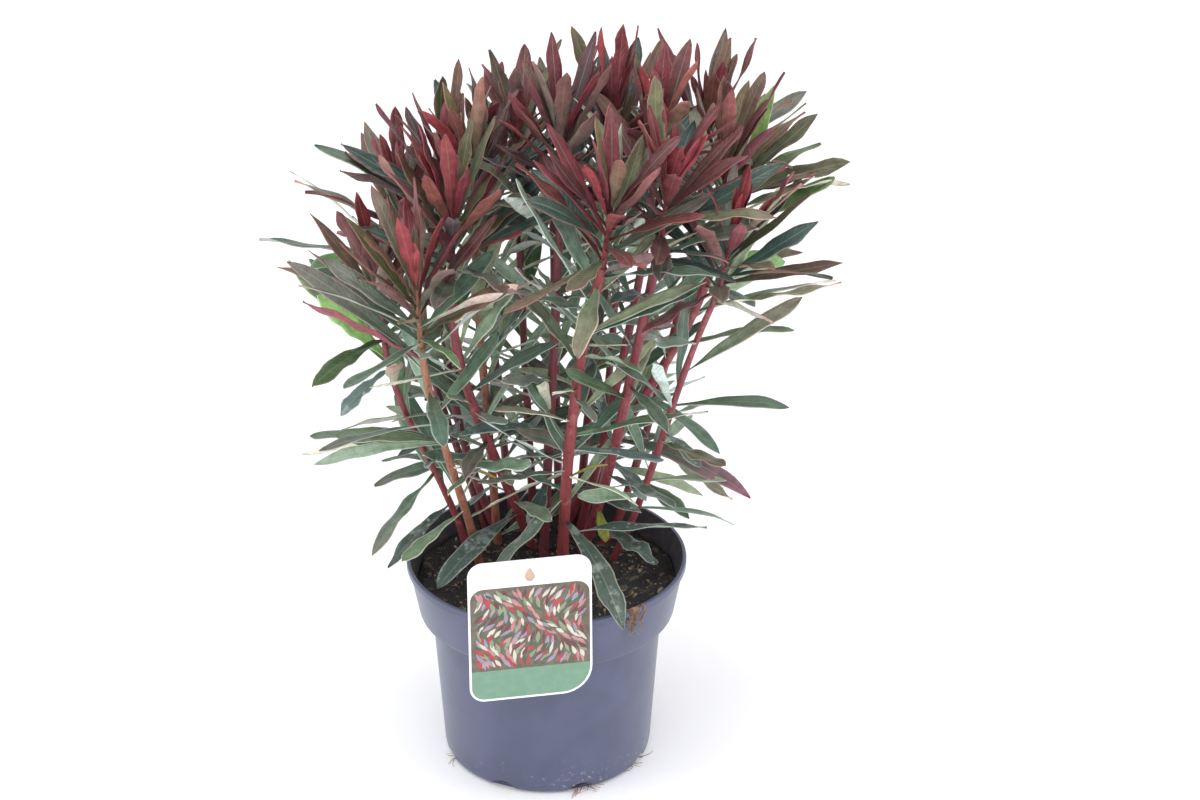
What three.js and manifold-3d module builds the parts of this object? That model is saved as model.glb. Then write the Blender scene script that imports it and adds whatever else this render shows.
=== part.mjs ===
// A red-leaved euphorbia in a nursery pot: pot, soil, plant label on its peg, and eighteen leafy stems,
// each with a separate red head. Millimetres, +Z up, origin at the centre of the pot's base.
import * as THREE from "three";
import { mergeVertices } from "three/addons/utils/BufferGeometryUtils.js";
import Module from "manifold-3d";

// ---- Driving dimensions ----
const CLEARANCE = 0.3; // gap kept between pieces that touch
const JOIN_TOLERANCE = 0.02; // how far a face may move where joining left needless vertices
const RAD = Math.PI / 180;
const GOLDEN_ANGLE = 137.508; // degrees from one leaf on a stem to the next

const POT = {
  height: 148,
  rimRadius: 95,
  lipDrop: 5.5,
  collarBottomZ: 109,
  collarBottomRadius: 86.8,
  bodyTopRadius: 78,
  baseRadius: 70.5,
  baseRound: 6,
  wall: 1.5,
  floor: 1.8,
  sides: 32,
};
const DRAIN = { count: 8, width: 20, height: 7, depth: 11, firstAngle: -70 };
const SOIL = { level: 131, lump: 2.2, rings: [0.3, 0.62, 0.88] };
const LABEL = {
  width: 82,
  height: 102,
  thickness: 0.8,
  corner: 10,
  bigCorner: 20,
  above: 52,
  turn: 11,
  lean: 2,
  shift: -28,
  holeRadius: 3.2,
  holeDrop: 11,
};
const PEG = {
  radius: 2.1,
  sides: 6,
  steps: 8,
  taper: 0.9,
  footZ: 100,
  footRadius: 66,
  kneeBack: 9,
  kneeDrop: 6,
  headRadius: 4,
  headTaper: 0.8,
  headLength: 2.4,
};

const STEM = { rootDepth: 26, sides: 5, steps: 6, taper: 0.78, holeGap: 0.55, holeDeeper: 0.6 };
const CROWN = { core: 46, coreRadius: 2.3, coreTaper: 0.45, sides: 4, steps: 1, gap: 1, upright: 0.8 };
const BLADE = {
  keel: 1.3,
  tipKeel: 0.8,
  long: { stations: [0, 0.36, 0.68, 1], breadths: [0.13, 0.74, 1, 0] },
  short: { stations: [0, 0.58, 1], breadths: [0.13, 1, 0] },
  shortUnder: 68, // millimetres
};
// The room that leaves of different pieces keep: spacing of the samples, the slab round each sample, the gap
// to a stem, and how a leaf without room is turned, tilted and shortened, try by try.
const ROOM = {
  step: 5.5,
  slab: { normal: 2.9, side: 0.9, end: 0.5 },
  farthest: 20,
  stem: 1.5,
  stemBreadth: 0.75,
  tries: 9,
  aside: 9,
  tilts: [0, -7, 6],
  shorter: 0.035,
};
// How far a leaf stays from the soil, the rim and the card.
const MARGIN = { mouth: 5, rim: 6, aboveRim: 1.5, aboveSoil: 5, card: 9, droop: 0.3 };

// Each stem: foot [x, y] at the soil, head [x, y, z] where the red crown starts, the shares of the sideways
// travel made at a third and at two thirds of the height, radius, and the leaf counts of stem and crown.
const STEMS = [
  { name: "01", foot: [10, -6], head: [38, -50, 385], bend: [0.05, 0.25], radius: 4.1, green: 8, red: 18 },
  { name: "02", foot: [17, 46], head: [75, -28, 391], bend: [0.5, 0.7], radius: 3.9, green: 8, red: 16 },
  { name: "03", foot: [34, 32], head: [112, -22, 352], bend: [0.5, 0.6], radius: 2.7, green: 7, red: 15 },
  { name: "04", foot: [1, 66], head: [116, 32, 378], bend: [0.22, 0.92], radius: 4.0, green: 7, red: 16 },
  { name: "05", foot: [-44, 24], head: [-79, -45, 326], bend: [0.15, 0.85], radius: 3.2, green: 7, red: 16 },
  { name: "06", foot: [-52, 31], head: [-106, 8, 303], bend: [0, 0.9], radius: 2.6, green: 7, red: 14 },
  { name: "07", foot: [-22, 56], head: [-68, 62, 360], bend: [0.9, 1.15], radius: 3.3, green: 8, red: 16 },
  { name: "08", foot: [-6, 47], head: [-60, -8, 356], bend: [0.25, 1.1], radius: 3.8, green: 9, red: 17 },
  { name: "09", foot: [-34, 44], head: [-46, 32, 376], bend: [0.1, 1], radius: 3.1, green: 6, red: 15 },
  { name: "10", foot: [-20, 69], head: [-40, 100, 354], bend: [0.6, 1], radius: 3.1, green: 6, red: 13 },
  { name: "11", foot: [-9, 71], head: [-18, 66, 384], bend: [0.3, 0.9], radius: 3.0, green: 6, red: 14 },
  { name: "12", foot: [-3, 34], head: [10, 22, 400], bend: [0.2, 0.8], radius: 3.6, green: 6, red: 16 },
  { name: "13", foot: [19, 69], head: [42, 70, 388], bend: [0.3, 0.7], radius: 3.3, green: 7, red: 15 },
  { name: "14", foot: [36, 49], head: [104, 84, 380], bend: [0.45, 0.85], radius: 3.0, green: 6, red: 14 },
  { name: "15", foot: [30, 62], head: [50, 126, 352], bend: [0.4, 0.9], radius: 3.0, green: 6, red: 12 },
  { name: "16", foot: [8, 72], head: [4, 112, 364], bend: [0.3, 0.8], radius: 3.0, green: 6, red: 12 },
  { name: "17", foot: [16, 56], head: [70, 28, 395], bend: [0.36, 0.8], radius: 3.4, green: 7, red: 15 },
  { name: "18", foot: [-34, 58], head: [-94, 78, 330], bend: [0.35, 0.9], radius: 2.8, green: 6, red: 13 },
];

// How the leaves change from the first to the last of a head or stem: pitch from the axis and bend in
// degrees, length and half width in millimetres, and the shares of the axis that they spring from.
const RED = {
  span: [0.07, 0.97],
  pitch: [66, 19],
  length: [94, 67],
  width: [6.6, 4.8],
  bend: [14, -4],
  ease: 0.8,
  crowding: 1,
  seed: 471,
};
const GREEN = {
  span: [0.97, 0.4],
  pitch: [48, 68],
  length: [94, 76],
  width: [6.3, 5.8],
  bend: [6, 9],
  ease: 1.3,
  crowding: 1.35,
  seed: 452,
};
const SCATTER = { turn: 15, pitch: 10, length: 0.15, roll: 20 };

// Single leaves with a place of their own: stem, height of the root, direction round the upright, pitch from
// it, bend, length, half width, roll.
const LONE = [
  { on: "08", height: 162, azimuth: -122, pitch: 80, bend: 40, length: 96, width: 9, roll: 0 },
  { on: "01", height: 180, azimuth: -65, pitch: 88, bend: 36, length: 107, width: 8.5, roll: 8 },
  { on: "01", height: 200, azimuth: -156, pitch: 128, bend: 14, length: 70, width: 6.5, roll: -10 },
  { on: "12", height: 188, azimuth: -111, pitch: 118, bend: 20, length: 40, width: 7.5, roll: 0 },
  { on: "01", height: 170, azimuth: 3, pitch: 82, bend: 16, length: 97, width: 6.5, roll: 6 },
  { on: "02", height: 154, azimuth: -38, pitch: 76, bend: 16, length: 72, width: 8, roll: 0 },
  { on: "14", height: 172, azimuth: -50, pitch: 80, bend: 22, length: 62, width: 6.5, roll: 10 },
  { on: "17", height: 214, azimuth: -24, pitch: 86, bend: 30, length: 112, width: 6.8, roll: 20 },
  { on: "14", height: 200, azimuth: -40, pitch: 95, bend: 18, length: 80, width: 6, roll: -24 },
  { on: "01", height: 236, azimuth: 12, pitch: 97, bend: 12, length: 66, width: 6, roll: 0 },
  { on: "02", height: 172, azimuth: -75, pitch: 120, bend: 10, length: 27, width: 4.5, roll: 0 },
  { on: "08", height: 190, azimuth: -169, pitch: 56, bend: 10, length: 38, width: 5, roll: 20 },
  { on: "01", height: 214, azimuth: 2, pitch: 62, bend: 8, length: 29, width: 5, roll: -20 },
  { on: "01", height: 224, azimuth: -173, pitch: 60, bend: -8, length: 72, width: 4.6, roll: 30 },
  { on: "12", height: 204, azimuth: -140, pitch: 54, bend: -10, length: 50, width: 4.8, roll: -25 },
  { on: "06", height: 200, azimuth: -116, pitch: 95, bend: 14, length: 90, width: 5.6, roll: 12 },
  { on: "05", height: 246, azimuth: 178, pitch: 80, bend: 20, length: 62, width: 8.6, roll: -32 },
  { on: "06", height: 285, azimuth: -145, pitch: 112, bend: 18, length: 46, width: 6.6, roll: 0 },
  { on: "14", height: 358, azimuth: -4, pitch: 33, bend: -10, length: 114, width: 8.4, roll: 62 },
  { on: "04", height: 312, azimuth: -2, pitch: 70, bend: 10, length: 98, width: 6.8, roll: 0 },
  { on: "04", height: 284, azimuth: -6, pitch: 70, bend: 8, length: 82, width: 5.8, roll: 0 },
  { on: "03", height: 262, azimuth: 4, pitch: 84, bend: 10, length: 78, width: 5.4, roll: 12 },
  { on: "03", height: 240, azimuth: -30, pitch: 112, bend: 18, length: 34, width: 6.6, roll: 0 },
  { on: "01", height: 370, azimuth: -101, pitch: 106, bend: 20, length: 58, width: 8, roll: 0 },
  { on: "04", height: 345, azimuth: 20, pitch: 84, bend: 10, length: 54, width: 8.6, roll: 28 },
  { on: "18", height: 322, azimuth: -174, pitch: 62, bend: 24, length: 104, width: 6.6, roll: 0 },
  { on: "05", height: 262, azimuth: -156, pitch: 82, bend: 18, length: 84, width: 5.8, roll: 24 },
  { on: "05", height: 314, azimuth: 176, pitch: 46, bend: 6, length: 110, width: 7, roll: -35 },
  { on: "05", height: 316, azimuth: -162, pitch: 52, bend: 6, length: 94, width: 6, roll: 30 },
  { on: "06", height: 292, azimuth: 178, pitch: 40, bend: 10, length: 64, width: 8.6, roll: -48 },
  { on: "14", height: 368, azimuth: -8, pitch: 64, bend: 8, length: 108, width: 6.8, roll: 24 },
  { on: "02", height: 386, azimuth: -2, pitch: 70, bend: 8, length: 114, width: 6.4, roll: -24 },
  { on: "01", height: 246, azimuth: -4, pitch: 72, bend: 2, length: 94, width: 4.8, roll: 20 },
  { on: "07", height: 362, azimuth: 178, pitch: 64, bend: 14, length: 96, width: 6, roll: 0 },
];

const COLOURS = {
  pot: { color: 0x6b6f88, roughness: 0.42, metalness: 0 },
  soil: { color: 0x2b2624, roughness: 0.95, metalness: 0 },
  card: { color: 0xf6f3f7, roughness: 0.35, metalness: 0 },
  peg: { color: 0xcdb59a, roughness: 0.6, metalness: 0 },
  stem: { color: 0x5d7262, roughness: 0.6, metalness: 0 },
  crown: { color: 0x8e4550, roughness: 0.6, metalness: 0 },
};

const wasm = await Module();
wasm.setup();

// ---- Solids from three.js geometry ----

/** A closed geometry as a manifold solid with its faces pointing out. */
function solid(geometry) {
  const bare = geometry.clone();
  bare.deleteAttribute("normal");
  bare.deleteAttribute("uv");
  const merged = mergeVertices(bare, 1e-3);
  const vertProperties = merged.attributes.position.array;
  const build = (triVerts) => new wasm.Manifold(new wasm.Mesh({ numProp: 3, vertProperties, triVerts }));
  const faces = new Uint32Array(merged.index.array);
  const made = build(faces);
  return made.volume() < 0 ? build(faces.reverse()) : made;
}

/**
 * A manifold solid as a geometry, its largest body only: scraps go and sealed hollows are filled.
 * Joining leaves vertices on flat faces and straight edges, which are dropped.
 */
function geometryOf(made) {
  const bodies = made.simplify(JOIN_TOLERANCE).decompose().sort((a, b) => b.volume() - a.volume());
  const mesh = bodies[0].getMesh();
  const positions = new Float32Array(mesh.numVert * 3);
  for (let i = 0; i < mesh.numVert; i++) {
    positions.set(mesh.vertProperties.subarray(i * mesh.numProp, i * mesh.numProp + 3), i * 3);
  }
  const geometry = new THREE.BufferGeometry();
  geometry.setAttribute("position", new THREE.BufferAttribute(positions, 3));
  geometry.setIndex(new THREE.BufferAttribute(mesh.triVerts, 1));
  return geometry;
}

/** A named mesh with its own material. */
function piece(name, geometry, finish) {
  const shaded = geometry.index ? geometry.toNonIndexed() : geometry;
  shaded.computeVertexNormals();
  const mesh = new THREE.Mesh(shaded, new THREE.MeshStandardMaterial(finish));
  mesh.name = name;
  return mesh;
}

/** A round bar of a few sides along a curve, its radius falling to the given share at the end. */
function bar(curve, radius, taper, sides, steps) {
  const section = new THREE.Shape(
    Array.from({ length: sides }, (_, i) => {
      const angle = (2 * Math.PI * i) / sides;
      return new THREE.Vector2(radius * Math.cos(angle), radius * Math.sin(angle));
    }),
  );
  const geometry = new THREE.ExtrudeGeometry(section, { steps, extrudePath: curve, curveSegments: 1 });
  const centres = curve.getSpacedPoints(steps);
  const position = geometry.attributes.position;
  const point = new THREE.Vector3();
  for (let i = 0; i < position.count; i++) {
    point.fromBufferAttribute(position, i);
    const distances = centres.map((centre) => centre.distanceToSquared(point));
    const ring = distances.indexOf(Math.min(...distances));
    const share = 1 + (taper - 1) * (ring / steps);
    point.sub(centres[ring]).multiplyScalar(share).add(centres[ring]);
    position.setXYZ(i, point.x, point.y, point.z);
  }
  return geometry;
}

// ---- Pot, soil and label ----

/** The pot's radius inside the wall at a height. */
function innerRadius(z) {
  const share = (low, high, from, to) => from + ((z - low) / (high - low)) * (to - from);
  const outer =
    z < POT.collarBottomZ
      ? share(0, POT.collarBottomZ, POT.baseRadius, POT.bodyTopRadius)
      : share(POT.collarBottomZ, POT.height, POT.collarBottomRadius, POT.rimRadius - 1);
  return outer - POT.wall;
}

/** The pot: a stepped wall with a rolled lip, its base round-edged and notched for drainage. */
function pot() {
  const { height, rimRadius, lipDrop, collarBottomZ, floor, baseRadius, baseRound } = POT;
  const corner = [0, 45, 90].map((turn) => [
    baseRadius - baseRound + baseRound * Math.sin(turn * RAD),
    baseRound - baseRound * Math.cos(turn * RAD),
  ]);
  const profile = [
    [0, 0],
    ...corner,
    [POT.bodyTopRadius, collarBottomZ - 2],
    [POT.collarBottomRadius, collarBottomZ],
    [rimRadius - 1.6, height - lipDrop],
    [rimRadius, height - lipDrop + 1.5],
    [rimRadius, height - 1],
    [rimRadius - 1, height],
    [rimRadius - 2.5, height],
    [innerRadius(height), height - 1.5],
    [innerRadius(collarBottomZ + 2), collarBottomZ + 2],
    [innerRadius(collarBottomZ - 0.01), collarBottomZ - 0.6],
    [innerRadius(baseRound), baseRound],
    [baseRadius - baseRound, floor],
    [0, floor],
  ].map(([r, z]) => new THREE.Vector2(r, z));
  const shell = new THREE.LatheGeometry(profile, POT.sides);
  shell.rotateX(Math.PI / 2);
  let made = solid(shell);
  for (let i = 0; i < DRAIN.count; i++) {
    const notch = new THREE.CylinderGeometry(DRAIN.width / 2, DRAIN.width / 2, DRAIN.depth, 6);
    notch.rotateZ(Math.PI / 2);
    notch.scale(1, 1, (2 * DRAIN.height) / DRAIN.width);
    notch.translate(baseRadius, 0, 0);
    notch.rotateZ((DRAIN.firstAngle + (360 * i) / DRAIN.count) * RAD);
    made = made.subtract(solid(notch));
  }
  return made;
}

/** The lumps of the soil's surface: a height to add at a place, from two crossing waves. */
function lump(x, y) {
  const broad = Math.sin(x * 0.11 + 1.3) * Math.cos(y * 0.09);
  const fine = Math.sin(x * 0.23 - y * 0.19);
  return SOIL.lump * (broad + 0.6 * fine - 0.3);
}

/** The soil: a filling with a lumpy top. */
function soil() {
  const inset = CLEARANCE + 0.4;
  const edge = innerRadius(SOIL.level) - inset;
  const bottom = POT.floor + CLEARANCE;
  const ledge = POT.collarBottomZ + 2 + inset;
  const profile = [
    [0, bottom],
    [POT.baseRadius - POT.baseRound - 2, bottom],
    [innerRadius(DRAIN.height) - 2 * inset, DRAIN.height + 1],
    [innerRadius(POT.collarBottomZ - 2) - inset, POT.collarBottomZ - 2],
    [innerRadius(POT.collarBottomZ - 2) - inset, ledge],
    [innerRadius(ledge) - inset, ledge + 0.6],
    [edge, SOIL.level - 4],
    ...SOIL.rings.toReversed().map((share) => [edge * share, SOIL.level]),
    [0, SOIL.level],
  ].map(([r, z]) => new THREE.Vector2(r, z));
  const body = new THREE.LatheGeometry(profile, POT.sides);
  body.rotateX(Math.PI / 2);
  const position = body.attributes.position;
  for (let i = 0; i < position.count; i++) {
    if (position.getZ(i) > SOIL.level - 1) {
      position.setZ(i, SOIL.level + lump(position.getX(i), position.getY(i)));
    }
  }
  return solid(body);
}

/** Where the card's middle line touches the rim, and the card's own directions. */
function labelFrame() {
  const turn = LABEL.turn * RAD;
  const lean = LABEL.lean * RAD;
  const out = new THREE.Vector3(Math.sin(turn), -Math.cos(turn), 0);
  const across = new THREE.Vector3(Math.cos(turn), Math.sin(turn), 0);
  const up = new THREE.Vector3(0, 0, Math.cos(lean)).addScaledVector(out, -Math.sin(lean));
  const face = out.clone().multiplyScalar(Math.cos(lean)).add(new THREE.Vector3(0, 0, Math.sin(lean)));
  const seat = out.clone().multiplyScalar(POT.rimRadius + CLEARANCE);
  seat.z = POT.height - 1;
  seat.addScaledVector(across, LABEL.shift);
  return { across, up, face, seat };
}

/** The plant label: a flat card with three small corners, one large one and a hole for its peg. */
function label() {
  const { width, height, corner, bigCorner, thickness, above } = LABEL;
  const half = width / 2;
  const bottom = above - height;
  const outline = new THREE.Shape();
  outline.moveTo(-half + corner, bottom);
  outline.lineTo(half - bigCorner, bottom);
  outline.absarc(half - bigCorner, bottom + bigCorner, bigCorner, -Math.PI / 2, 0);
  outline.lineTo(half, above - corner);
  outline.absarc(half - corner, above - corner, corner, 0, Math.PI / 2);
  outline.lineTo(-half + corner, above);
  outline.absarc(-half + corner, above - corner, corner, Math.PI / 2, Math.PI);
  outline.lineTo(-half, bottom + corner);
  outline.absarc(-half + corner, bottom + corner, corner, Math.PI, 1.5 * Math.PI);
  const hole = new THREE.Path();
  hole.absarc(0, above - LABEL.holeDrop, LABEL.holeRadius, 0, 2 * Math.PI, true);
  outline.holes.push(hole);
  const card = new THREE.ExtrudeGeometry(outline, {
    depth: thickness,
    bevelEnabled: false,
    curveSegments: 3,
  });
  const { across, up, face, seat } = labelFrame();
  card.applyMatrix4(new THREE.Matrix4().makeBasis(across, up, face).setPosition(seat));
  return solid(card);
}

/** The peg from the soil behind the rim up through the card's hole, with a flat head in front. */
function peg() {
  const { up, face, seat } = labelFrame();
  const eye = seat.clone().addScaledVector(up, LABEL.above - LABEL.holeDrop);
  const front = eye.clone().addScaledVector(face, LABEL.thickness + CLEARANCE);
  const foot = new THREE.Vector3(seat.x, seat.y, 0).setLength(PEG.footRadius);
  foot.z = PEG.footZ;
  const knee = front.clone().addScaledVector(face, -PEG.kneeBack);
  knee.z -= PEG.kneeDrop;
  const route = new THREE.CatmullRomCurve3([foot, foot.clone().lerp(knee, 0.5), knee, front]);
  const shank = solid(bar(route, PEG.radius, PEG.taper, PEG.sides, PEG.steps));
  const { headRadius, headTaper, headLength } = PEG;
  const head = new THREE.CylinderGeometry(headRadius * headTaper, headRadius, headLength, 10);
  head.rotateX(Math.PI / 2);
  head.translate(0, 0, PEG.headLength / 2);
  const side = new THREE.Vector3().crossVectors(up, face);
  head.applyMatrix4(new THREE.Matrix4().makeBasis(side, up, face).setPosition(front));
  return { body: shank.add(solid(head)), route };
}

// ---- Leaves ----

/** A seeded source of numbers from 0 to 1. */
function seeded(seed) {
  let state = (Math.imul(seed, 2654435761) + 12345) >>> 0;
  return () => {
    state = (Math.imul(state, 1664525) + 1013904223) >>> 0;
    return state / 4294967296;
  };
}

/** A leaf's middle line: the point, its direction, its side direction and its upper normal at a share. */
function along(leaf, share) {
  const { root, axis, out, pitch, bend, length, roll } = leaf;
  const turned = pitch + bend * share;
  const swing = Math.abs(bend) < 1e-4;
  const rise = swing ? Math.cos(pitch) * share : (Math.sin(turned) - Math.sin(pitch)) / bend;
  const reach = swing ? Math.sin(pitch) * share : (Math.cos(pitch) - Math.cos(turned)) / bend;
  const point = root.clone().addScaledVector(axis, length * rise).addScaledVector(out, length * reach);
  const forward = axis.clone().multiplyScalar(Math.cos(turned)).addScaledVector(out, Math.sin(turned));
  const flat = new THREE.Vector3().crossVectors(axis, out);
  const upper = axis.clone().multiplyScalar(Math.sin(turned)).addScaledVector(out, -Math.cos(turned));
  const side = flat.clone().multiplyScalar(Math.cos(roll)).addScaledVector(upper, Math.sin(roll));
  const normal = upper.multiplyScalar(Math.cos(roll)).addScaledVector(flat, -Math.sin(roll));
  return { point, forward, side, normal };
}

/** The stations along a leaf and its breadths there: fewer on a short leaf. */
function form(leaf) {
  return leaf.length < BLADE.shortUnder ? BLADE.short : BLADE.long;
}

/** A leaf's breadth at a share of its length, as a share of its greatest breadth. */
function breadth(leaf, share) {
  const { stations, breadths } = form(leaf);
  const i = Math.min(stations.length - 2, stations.findLastIndex((station) => station <= share));
  const part = (share - stations[i]) / (stations[i + 1] - stations[i]);
  return breadths[i] + (breadths[i + 1] - breadths[i]) * part;
}

/** The solid of one leaf: a three-sided cone flattened to the blade, its keel under the midrib. */
function blade(leaf) {
  const { stations, breadths } = form(leaf);
  const rings = stations.length - 1;
  const cone = new THREE.ConeGeometry(1, 1, 3, rings);
  const position = cone.attributes.position;
  for (let i = 0; i < position.count; i++) {
    const ring = Math.round((position.getY(i) + 0.5) * rings);
    const share = stations[ring];
    const { point, side, normal } = along(leaf, share);
    const atAxis = Math.hypot(position.getX(i), position.getZ(i)) < 1e-6;
    const keeled = position.getZ(i) > 1e-6;
    const sideways = Math.sign(Math.round(position.getX(i) * 1e6));
    if (!atAxis && keeled) point.addScaledVector(normal, ring < rings - 1 ? -BLADE.keel : -BLADE.tipKeel);
    if (!atAxis && !keeled) point.addScaledVector(side, sideways * leaf.width * breadths[ring]);
    position.setXYZ(i, point.x, point.y, point.z);
  }
  return solid(cone);
}

/** The leaf's samples for the test of room: points with their frame, breadth and half spacing. */
function samples(leaf, owner) {
  const count = Math.max(4, Math.ceil(leaf.length / ROOM.step));
  return Array.from({ length: count + 1 }, (_, i) => {
    const share = i / count;
    const width = leaf.width * breadth(leaf, share);
    return { ...along(leaf, share), width, half: leaf.length / count / 2, owner };
  });
}

/** Whether a point lies in the thin slab round a sample of another leaf. */
function inSlab(point, sample) {
  const offset = point.clone().sub(sample.point);
  if (offset.length() > ROOM.farthest) return false;
  return (
    Math.abs(offset.dot(sample.forward)) < sample.half + ROOM.slab.end &&
    Math.abs(offset.dot(sample.side)) < sample.width + ROOM.slab.side &&
    Math.abs(offset.dot(sample.normal)) < ROOM.slab.normal
  );
}

/** Whether two leaves' samples come too near each other. */
function touch(mine, other) {
  if (mine.point.distanceTo(other.point) > ROOM.farthest) return false;
  const spots = (sample) =>
    [-1, 0, 1].map((turn) => sample.point.clone().addScaledVector(sample.side, turn * sample.width));
  return spots(mine).some((spot) => inSlab(spot, other)) || spots(other).some((spot) => inSlab(spot, mine));
}

/** Points along a bar with its radius, for the test of room. */
function beads(curve, radius, owner) {
  const count = Math.ceil(curve.getLength() / ROOM.step);
  return curve.getSpacedPoints(count).map((point) => ({ point, radius, owner }));
}

/** Whether a leaf's sample runs into the soil, the pot's wall or the card. */
function hitsHolder({ point, width }) {
  const reach = Math.hypot(point.x, point.y);
  const low = point.z - width * MARGIN.droop;
  const mouth = innerRadius(POT.height) - MARGIN.mouth;
  const overRim = reach > mouth && reach < POT.rimRadius + MARGIN.rim;
  if (overRim && low < POT.height + MARGIN.aboveRim) return true;
  if (reach <= mouth && low < SOIL.level + MARGIN.aboveSoil) return true;
  const { across, up, face, seat } = labelFrame();
  const offset = point.clone().sub(seat);
  return (
    Math.abs(offset.dot(across)) < LABEL.width / 2 + MARGIN.card &&
    offset.dot(up) < LABEL.above + MARGIN.card &&
    Math.abs(offset.dot(face)) < MARGIN.card
  );
}

/** Whether a leaf has room among what is placed already. */
function hasRoom(leaf, owner, ownBars, placed, bars) {
  const mine = samples(leaf, owner);
  for (const sample of mine) {
    if (sample !== mine[0] && hitsHolder(sample)) return false;
    for (const bead of bars) {
      if (ownBars.includes(bead.owner)) continue;
      const gap = bead.point.distanceTo(sample.point) - bead.radius;
      if (gap < ROOM.stem + sample.width * ROOM.stemBreadth) return false;
    }
    for (const other of placed) {
      if (other.owner !== owner && touch(sample, other)) return false;
    }
  }
  placed.push(...mine);
  return true;
}

/** The leaf, or the same leaf turned and tilted a little, that has room; null where none has. */
function settled(leaf, owner, ownBars, placed, bars) {
  for (let turn = 0; turn < ROOM.tries; turn++) {
    const aside = (turn % 2 ? 1 : -1) * Math.ceil(turn / 2) * ROOM.aside * RAD;
    const tried = {
      ...leaf,
      out: leaf.out.clone().applyAxisAngle(leaf.axis, aside),
      pitch: leaf.pitch + ROOM.tilts[turn % ROOM.tilts.length] * RAD,
      length: leaf.length * (1 - ROOM.shorter * turn),
    };
    if (hasRoom(tried, owner, ownBars, placed, bars)) return tried;
  }
  return null;
}

/** The leaves that a rule puts round a curve, in a spiral. */
function whorl(rule, count, index, curve, axisAt) {
  const random = seeded(rule.seed + index);
  const spread = () => 2 * random() - 1;
  const start = 360 * random();
  return Array.from({ length: count }, (_, i) => {
    const share = count > 1 ? i / (count - 1) : 0;
    const eased = share ** rule.ease;
    const mix = ([from, to]) => from + (to - from) * eased;
    const place = rule.span[0] + (rule.span[1] - rule.span[0]) * share ** rule.crowding;
    const axis = axisAt(place);
    const azimuth = (start + GOLDEN_ANGLE * i + SCATTER.turn * spread()) * RAD;
    const level = new THREE.Vector3(Math.cos(azimuth), Math.sin(azimuth), 0);
    const out = level.addScaledVector(axis, -level.dot(axis)).normalize();
    return {
      root: curve.getPointAt(place),
      axis,
      out,
      pitch: (mix(rule.pitch) + SCATTER.pitch * spread()) * RAD,
      bend: mix(rule.bend) * RAD,
      length: mix(rule.length) * (1 + SCATTER.length * spread()),
      width: mix(rule.width) * (1 + 0.5 * SCATTER.length * spread()),
      roll: SCATTER.roll * spread() * RAD,
    };
  });
}

// ---- Stems and heads ----

/** A stem's curve from below the soil to its head. */
function stemCurve({ foot, head, bend }, deeper = 0) {
  const base = new THREE.Vector3(...foot, SOIL.level - STEM.rootDepth);
  const top = new THREE.Vector3(...head);
  const rise = top.z - base.z;
  const travel = new THREE.Vector3(top.x - base.x, top.y - base.y, 0);
  const knee = (share, height) =>
    base.clone().addScaledVector(travel, share).add(new THREE.Vector3(0, 0, rise * height));
  const low = knee(bend[0], 1 / 3);
  const first = base.clone().addScaledVector(low.clone().sub(base).normalize(), -deeper);
  return new THREE.CubicBezierCurve3(first, low, knee(bend[1], 2 / 3), top);
}

/** The straight core of a red head, a hair above its stem's end and half way back to upright. */
function coreCurve(stem) {
  const curve = stemCurve(stem);
  const end = curve.getPoint(1);
  const lean = curve.getTangent(1);
  const axis = lean.clone().add(new THREE.Vector3(0, 0, CROWN.upright)).normalize();
  const start = end.clone().addScaledVector(lean, CROWN.gap);
  return new THREE.LineCurve3(start, start.clone().addScaledVector(axis, CROWN.core));
}

/** A leaf with a place of its own, on a stem's curve. */
function loneLeaf({ height, azimuth, pitch, bend, length, width, roll }, curve) {
  const points = curve.getSpacedPoints(200);
  const root = points.reduce((best, point) =>
    Math.abs(point.z - height) < Math.abs(best.z - height) ? point : best,
  );
  return {
    root,
    axis: new THREE.Vector3(0, 0, 1),
    out: new THREE.Vector3(Math.cos(azimuth * RAD), Math.sin(azimuth * RAD), 0),
    pitch: pitch * RAD,
    bend: bend * RAD,
    length,
    width,
    roll: roll * RAD,
  };
}

/** A node's solid: its bar with every leaf joined on. */
function leafy(barGeometry, leaves) {
  return leaves.reduce((sum, leaf) => sum.add(blade(leaf)), solid(barGeometry));
}

/** Every stem and head: the hand-placed leaves find their room first, then the red ones, then the green. */
function plant() {
  const grown = STEMS.map((stem, index) => {
    const curve = stemCurve(stem);
    const core = coreCurve(stem);
    return { stem, index, curve, core, stemName: `stem_${stem.name}`, headName: `head_${stem.name}` };
  });
  const bars = grown.flatMap(({ stem, curve, core, stemName, headName }) => [
    ...beads(curve, stem.radius, stemName),
    ...beads(core, CROWN.coreRadius, headName),
  ]);
  const placed = [];
  const lone = grown.map(({ stem, curve, stemName }) =>
    LONE.filter(({ on }) => on === stem.name)
      .map((leaf) => settled(loneLeaf(leaf, curve), stemName, [stemName], placed, bars))
      .filter(Boolean),
  );
  const red = grown.map(({ stem, index, core, stemName, headName }) =>
    whorl(RED, stem.red, index, core, () => core.getTangent(0))
      .map((leaf) => settled(leaf, headName, [headName, stemName], placed, bars))
      .filter(Boolean),
  );
  const green = grown.map(({ stem, index, curve, stemName }) =>
    whorl(GREEN, stem.green, index, curve, (place) => curve.getTangentAt(place))
      .map((leaf) => settled(leaf, stemName, [stemName], placed, bars))
      .filter(Boolean),
  );
  return grown.map((one, i) => ({
    ...one,
    stemSolid: leafy(bar(one.curve, one.stem.radius, STEM.taper, STEM.sides, STEM.steps), [
      ...lone[i],
      ...green[i],
    ]),
    headSolid: leafy(bar(one.core, CROWN.coreRadius, CROWN.coreTaper, CROWN.sides, CROWN.steps), red[i]),
  }));
}

// ---- The whole object ----

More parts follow.
